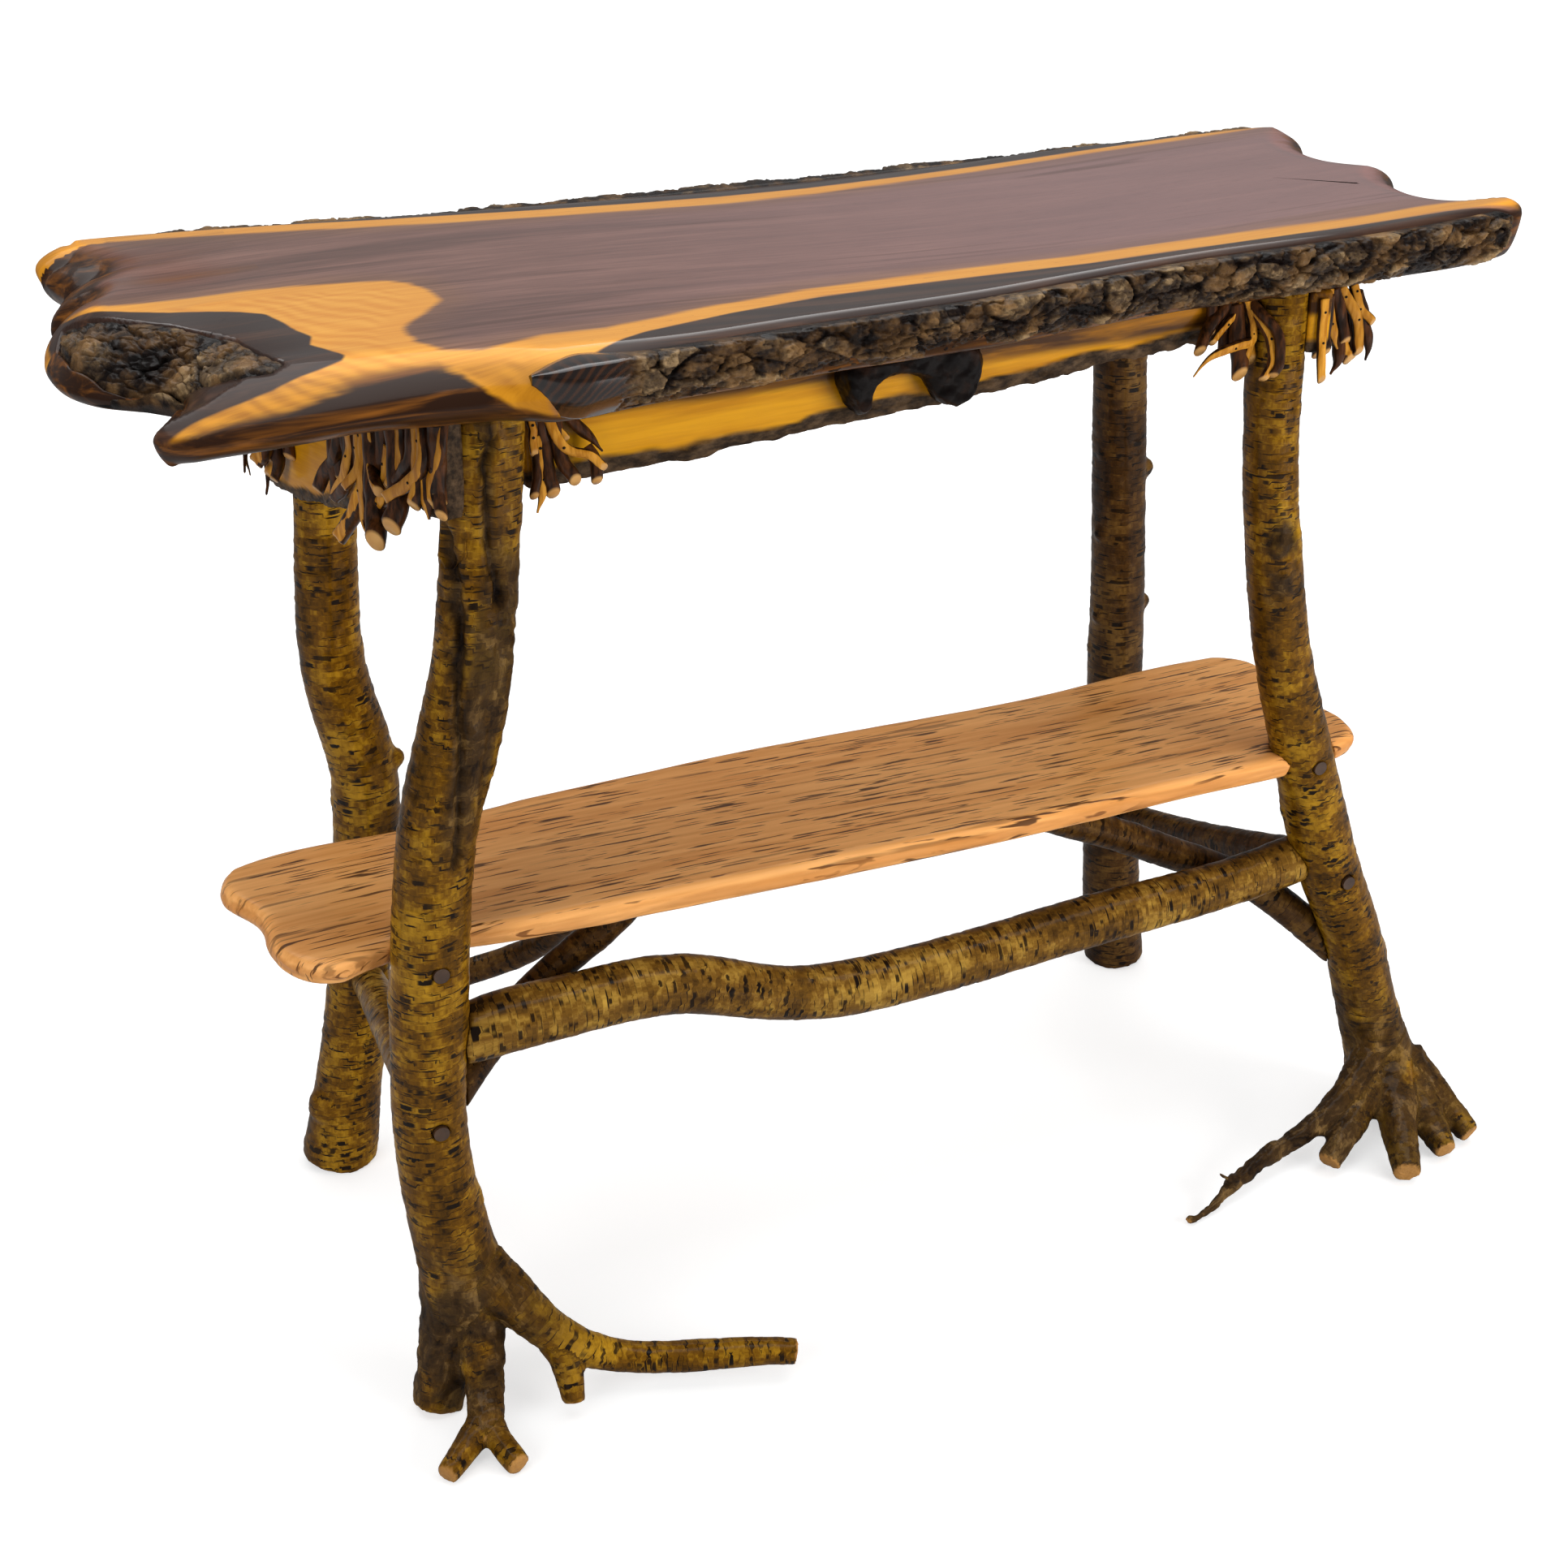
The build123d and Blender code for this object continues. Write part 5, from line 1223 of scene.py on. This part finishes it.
def twig_points(look, radius, stations, face, seed, thicker):
    """One twig: a ring carried along its line, which wanders by noise, flattened where it is shaved.

    It ends in a slanted cut, or for a small letter draws in to a point. A twig of look B carries two brads.
    """
    origin, along, out = (np.array(part) for part in face)
    rows = np.array(stations, float)
    flat = origin + rows[:, :1] * along + rows[:, 2:] * out
    line = np.column_stack([flat, SLAB_UNDERSIDE / MM - rows[:, 1]]) * MM
    line = evenly(smooth_line(line, 160), TWIG_ROWS)
    share = np.linspace(0, 1, TWIG_ROWS)
    wander = np.stack([noise(line, 0.012, seed + k) for k in range(3)], axis=1)
    line = line + wander * 0.0011 * ease(share, 0.05, 0.3)[:, None]
    size = radius * thicker * MM * (1.0 - 0.12 * share) * (1 + 0.07 * noise(line, 0.010, seed + 9))
    sawn = look.isupper()
    if not sawn:
        size = size * (1 - 0.80 * ease(share, 0.62, 1.0))
    angles = np.linspace(0, tau, TWIG_SIDES, endpoint=False)
    points = tube_points(line, angles, size[:, None] * np.ones(TWIG_SIDES))

    toward = np.array((*out, -0.25))
    offset = points - line[:, None]
    facing = (offset @ toward) / np.linalg.norm(offset, axis=2) / np.linalg.norm(toward)
    bare = np.zeros_like(facing)
    if look.upper() in SHAVED_FROM:
        past_cut = facing - SHAVED_FROM[look.upper()] - 0.35 * noise(points, 0.022, seed + 4)
        shaved = np.clip(past_cut, 0, None) * size[:, None]
        points = points - toward * shaved[..., None] * 0.6
        bare = ease(past_cut, -0.12, 0.03)

    way = line[-1] - line[-2]
    heading = way / np.linalg.norm(way)
    if sawn:
        slant = np.array((out[0], out[1] - 0.7, 0.0))
        lean = (offset @ slant) / np.linalg.norm(slant) * 0.9 * ease(share, 0.80, 1.0)[:, None]
        points = points - lean[..., None] * heading
    last = points[-1].mean(axis=0)
    tip = last + (points[-1] - last) * 0.82 + heading * (0.0014 if sawn else 0.0002)
    end = tip.mean(axis=0) if sawn else last + way * 0.5
    heads = []
    if look.upper() == "B":
        outward = toward / np.linalg.norm(toward)
        heads = [brad_points(points[row, facing[row].argmax()], outward) for row in BRAD_ROWS]
    start = points[0].mean(axis=0)
    rings = [np.tile(start, (1, TWIG_SIDES, 1)), points, tip[None], np.tile(end, (1, TWIG_SIDES, 1))]
    bare = np.concatenate([bare[:1], bare, bare[-1:], np.ones((1, TWIG_SIDES))])
    cut = np.zeros_like(bare)
    cut[-2:] = sawn
    return np.concatenate(rings), bare, cut, heads


def brad_points(centre, out):
    """Head of a brad: rings across the outward direction that widen and close into a low dome."""
    across = np.cross(out, (0.0, 0.0, 1.0))
    across /= np.linalg.norm(across)
    angles = np.linspace(0, tau, 12, endpoint=False)[:, None]
    ring = across * np.cos(angles) + np.cross(out, across) * np.sin(angles)
    profile = ((0.0, -0.0012), (0.0010, -0.0010), (0.0011, 0.0002), (0.0007, 0.0006), (0.0, 0.0008))
    return np.stack([centre + ring * radius + out * height for radius, height in profile])


def twig_cluster(name, twigs, face, thicker):
    """All the twigs of one cluster in one mesh, each with its own tint, and the heads of their brads."""
    sheets = []
    for index, (look, radius, stations) in enumerate(twigs):
        own, bare, cut, heads = twig_points(look, radius, stations, face, index * 13 + 5, thicker)
        sheets.append((own, bare, cut, (index * 0.618) % 1.0))
        for head in heads:
            plain = np.zeros(head.shape[:2])
            sheets.append((head, plain, plain, BRAD_TINT))
    faces = []
    start = 0
    for points, _, _, _ in sheets:
        rows, sides = points.shape[:2]
        faces.append(sheet_faces(rows, sides, close_columns=True)[:, ::-1] + start)
        start += rows * sides
    piece = build(name, np.concatenate([points.reshape(-1, 3) for points, _, _, _ in sheets]),
                  np.concatenate(faces), attributes={
                      "bare": np.concatenate([bare.ravel() for _, bare, _, _ in sheets]),
                      "cut": np.concatenate([cut.ravel() for _, _, cut, _ in sheets]),
                      "tint": np.concatenate([np.full(bare.size, tint) for _, bare, _, tint in sheets])})
    weld = piece.modifiers.new("weld", "WELD")
    weld.merge_threshold = 0.00001
    return piece


# ------------------------------------------------------------------ stage, lamps and camera
def lay_floor():
    """Pale floor that takes the table's shadow and glows, from near to far, where the camera sees it."""
    bpy.ops.mesh.primitive_plane_add(size=40, location=(0, 0, 0))
    floor = bpy.context.object
    floor.name = "stage_floor"
    look = Look("stage_floor", roughness=0.85)
    seen = look.node("ShaderNodeLightPath", output="Is Camera Ray")
    colour = look.mix(seen, (0.42, 0.42, 0.42), (0.62, 0.62, 0.62))
    away = look.node("ShaderNodeVectorMath", {"operation": "LENGTH"}, {0: look.place()}, output="Value")
    glow = look.mix(away.band(0.9, 2.6), (0.56, 0.56, 0.56), (0.94, 0.94, 0.94))
    glow = look.mix(seen, (0.0, 0.0, 0.0), glow)
    look.tree.links.new(glow.socket, look.shader.inputs["Emission Color"])
    look.shader.inputs["Emission Strength"].default_value = 1.0
    floor.data.materials.append(look.finish(colour))


def light_studio(scene):
    """White world that lights the table faintly, and three soft lamps; only the top one is mirrored."""
    world = bpy.data.worlds.new("studio")
    scene.world = world
    world.use_nodes = True
    tree = world.node_tree
    path = tree.nodes.new("ShaderNodeLightPath")
    either = tree.nodes.new("ShaderNodeMath")
    either.operation = "MAXIMUM"
    tree.links.new(path.outputs["Is Camera Ray"], either.inputs[0])
    tree.links.new(path.outputs["Is Transmission Ray"], either.inputs[1])
    strength = tree.nodes.new("ShaderNodeMapRange")
    strength.inputs["To Min"].default_value = 0.20
    strength.inputs["To Max"].default_value = 1.0
    tree.links.new(either.outputs[0], strength.inputs["Value"])
    background = tree.nodes["Background"]
    background.inputs["Color"].default_value = (1.0, 1.0, 1.0, 1)
    tree.links.new(strength.outputs["Result"], background.inputs["Strength"])

    for name, place, turn, size, power in (
            ("lamp_left", (-2.6, -1.2, 1.4), (72, 0, -64), 2.0, 42),
            ("lamp_above", (0.4, 0.7, 3.3), (-12, 0, 0), 4.2, 116),
            ("lamp_front", (1.8, -2.4, 0.85), (84, 0, 40), 1.7, 84)):
        data = bpy.data.lights.new(name, "AREA")
        data.shape = "SQUARE"
        data.size = size
        data.energy = power
        lamp = bpy.data.objects.new(name, data)
        lamp.location = place
        lamp.rotation_euler = Euler([radians(angle) for angle in turn])
        lamp.visible_glossy = name == "lamp_above"
        scene.collection.objects.link(lamp)


def set_camera(scene):
    """Camera above the front left corner, looking down by 27.4 degrees and to the right by 24.9."""
    data = bpy.data.cameras.new("camera")
    data.sensor_width = 36
    data.lens = 52.17
    camera = bpy.data.objects.new("camera", data)
    camera.location = (-0.7368, -1.5067, 1.2567)
    camera.rotation_euler = Euler((radians(90 - 27.408), 0, radians(-24.869)))
    scene.collection.objects.link(camera)
    scene.camera = camera


def dress_branches():
    """Bark on the legs, stretchers and braces."""
    legs = bark_look("leg_bark", (0.014, 0.006, 0.001), (0.140, 0.058, 0.002), (0.440, 0.230, 0.012))
    dim = bark_look("shaded_bark", (0.010, 0.0045, 0.002), (0.060, 0.026, 0.006), (0.170, 0.085, 0.018))
    branches = bark_look("branch_bark", (0.020, 0.008, 0.002), (0.160, 0.074, 0.009), (0.480, 0.280, 0.045))
    left = branch_piece("front_left_leg", 2, roots=FRONT_LEFT_ROOTS, trunk=(LEFT_TRUNK, np.maximum),
                        rough=left_foot_rough, grooves=cleft_grooves,
                        knots=[(-340, -168, 728, 9, 4), (-330, -142, 756, 8, 2)])
    right = branch_piece("front_right_leg", 2, roots=FRONT_RIGHT_ROOTS, trunk=(RIGHT_TRUNK, np.minimum),
                         rough=right_foot_rough,
                         knots=[(315, -130, 716, 9, 2), (331, -139, 590, 11, 2), (337, -140, 560, 10, 2)])
    finish_piece(left, ["front_left_leg"], "table", legs)
    finish_piece(right, ["front_right_leg"], "table", legs)
    for node, look in (("back_left_leg", legs), ("back_right_leg", dim)):
        finish_piece(branch_piece(node, 2), [node], "table", look)
    for node, axis, look in (("front_stretcher", 0, branches), ("left_stretcher", 1, branches),
                             ("right_stretcher", 1, dim), ("left_brace", 0, dim), ("right_brace", 0, dim),
                             ("back_brace", 0, dim)):
        finish_piece(branch_piece(node, axis, 0.0022), [node], "table", look)


def dress_boards():
    """Wood on the boards, the shelf and the pull. A board has its body, its directions and its heartwood,
    whose band also paints the slab's shadow.
    """
    board = board_look("live_edge_wood", (0.700, 0.320, 0.008), (0.450, 0.170, 0.003), (0.050, 0.018, 0.004),
                       (0.05, 0.02, 0.01))
    # The last number sets how deep the brown top of each board reaches, heartwood with the slab's painted
    # shadow, deepest on the drawer front.
    for node, body, along, front, heart in (
            ("drawer_front", "drawer", (1, 0), (0, -1), 0.024),
            ("back_apron", "table", (1, 0), (0, 1), 0.016),
            ("left_apron", "table", *LEFT_FACE[1:], 0.016),
            ("right_apron", "table", *RIGHT_FACE[1:], 0.016)):
        finish_piece(board_piece(node, along, front, heart), [node], body, board)
    # The shelf's colours are lighter than its wood: painted light that makes up for the shade under the slab.
    shelf = board_look("shelf_wood", (0.940, 0.460, 0.150), (0.740, 0.310, 0.080), (0.360, 0.120, 0.025),
                       (0.045, 0.016, 0.008), streaks=0.9)
    finish_piece(shelf_piece(), ["lower_shelf"], "table", shelf)
    finish_piece(pull_piece(), ["drawer_pull"], "drawer", burl_look())


def dress_twigs():
    """Clusters of shaved twigs on the boards."""
    look = twig_look()
    for node, twigs, face, body, thicker in (
            ("front_left_twigs", LEFT_TWIGS, LEFT_FACE, "table", 1.25),
            ("back_left_twigs", BACK_LEFT_TWIGS, LEFT_FACE, "table", 1.15),
            ("back_right_twigs", BACK_RIGHT_TWIGS, RIGHT_FACE, "table", 1.15),
            ("front_right_twigs", RIGHT_TWIGS, FRONT_FACE, "table", 1.15),
            ("drawer_left_twigs", DRAWER_LEFT_TWIGS, FRONT_FACE, "drawer", 1.1),
            ("drawer_right_twigs", DRAWER_RIGHT_TWIGS, FRONT_FACE, "drawer", 1.1)):
        piece = twig_cluster("shaved_" + node, twigs, face, thicker)
        finish_piece(piece, [node], body, look)


def dress_slab():
    """The walnut slab and its bark: the long edges' bark runs along the edge of the wood."""
    finish_piece(slab_piece(), ["top_slab"], "table", slab_look())
    bark = rough_bark_look()
    front_line = [(-303, -196, 17), (-290, -201, 18)] + [station[:3] for station in SLAB_EDGE[:9]]
    back_line = [station[:3] for station in SLAB_EDGE[17:25]] + [(-390, 227, 12), (-462, 239, 14)]
    front = bark_edge_piece("front_bark", front_line, -1, 0.017, 3, nose=0.062)
    back = bark_edge_piece("back_bark", back_line, 1, 0.014, 5)
    for piece, node in ((front, "slab_front_bark"), (back, "slab_back_bark"),
                        (crotch_bark_piece(), "slab_crotch_bark")):
        finish_piece(piece, [node], "table", bark)


def dress_joinery():
    """Looks for the CAD nodes that stay: the drawer box, runners, pins, plugs and screws."""
    box = plain_wood_look("drawer_box_wood", (0.600, 0.430, 0.240), (0.440, 0.290, 0.140))
    pins = plain_wood_look("joinery_wood", (0.075, 0.036, 0.016), (0.030, 0.014, 0.008), (60, 60, 60),
                           roughness=0.35, coat=0.5)
    steel = steel_look()
    for look, nodes in (
            (box, ("drawer_left_side", "drawer_right_side", "drawer_back", "drawer_bottom", "left_runner",
                   "right_runner", "drawer_stops")),
            (pins, ("top_dowels", "stretcher_dowels", "leg_plugs")),
            (steel, ("leg_screws", "apron_screws", "runner_screws", "pull_screws"))):
        for node in nodes:
            materials = NODES[node].data.materials
            materials.clear()
            materials.append(look)


def main():
    """Set the stage, and build every piece and give it its look."""
    scene = bpy.context.scene
    scene.view_settings.view_transform = "Standard"
    lay_floor()
    light_studio(scene)
    set_camera(scene)
    dress_slab()
    dress_branches()
    dress_boards()
    dress_twigs()
    dress_joinery()


main()
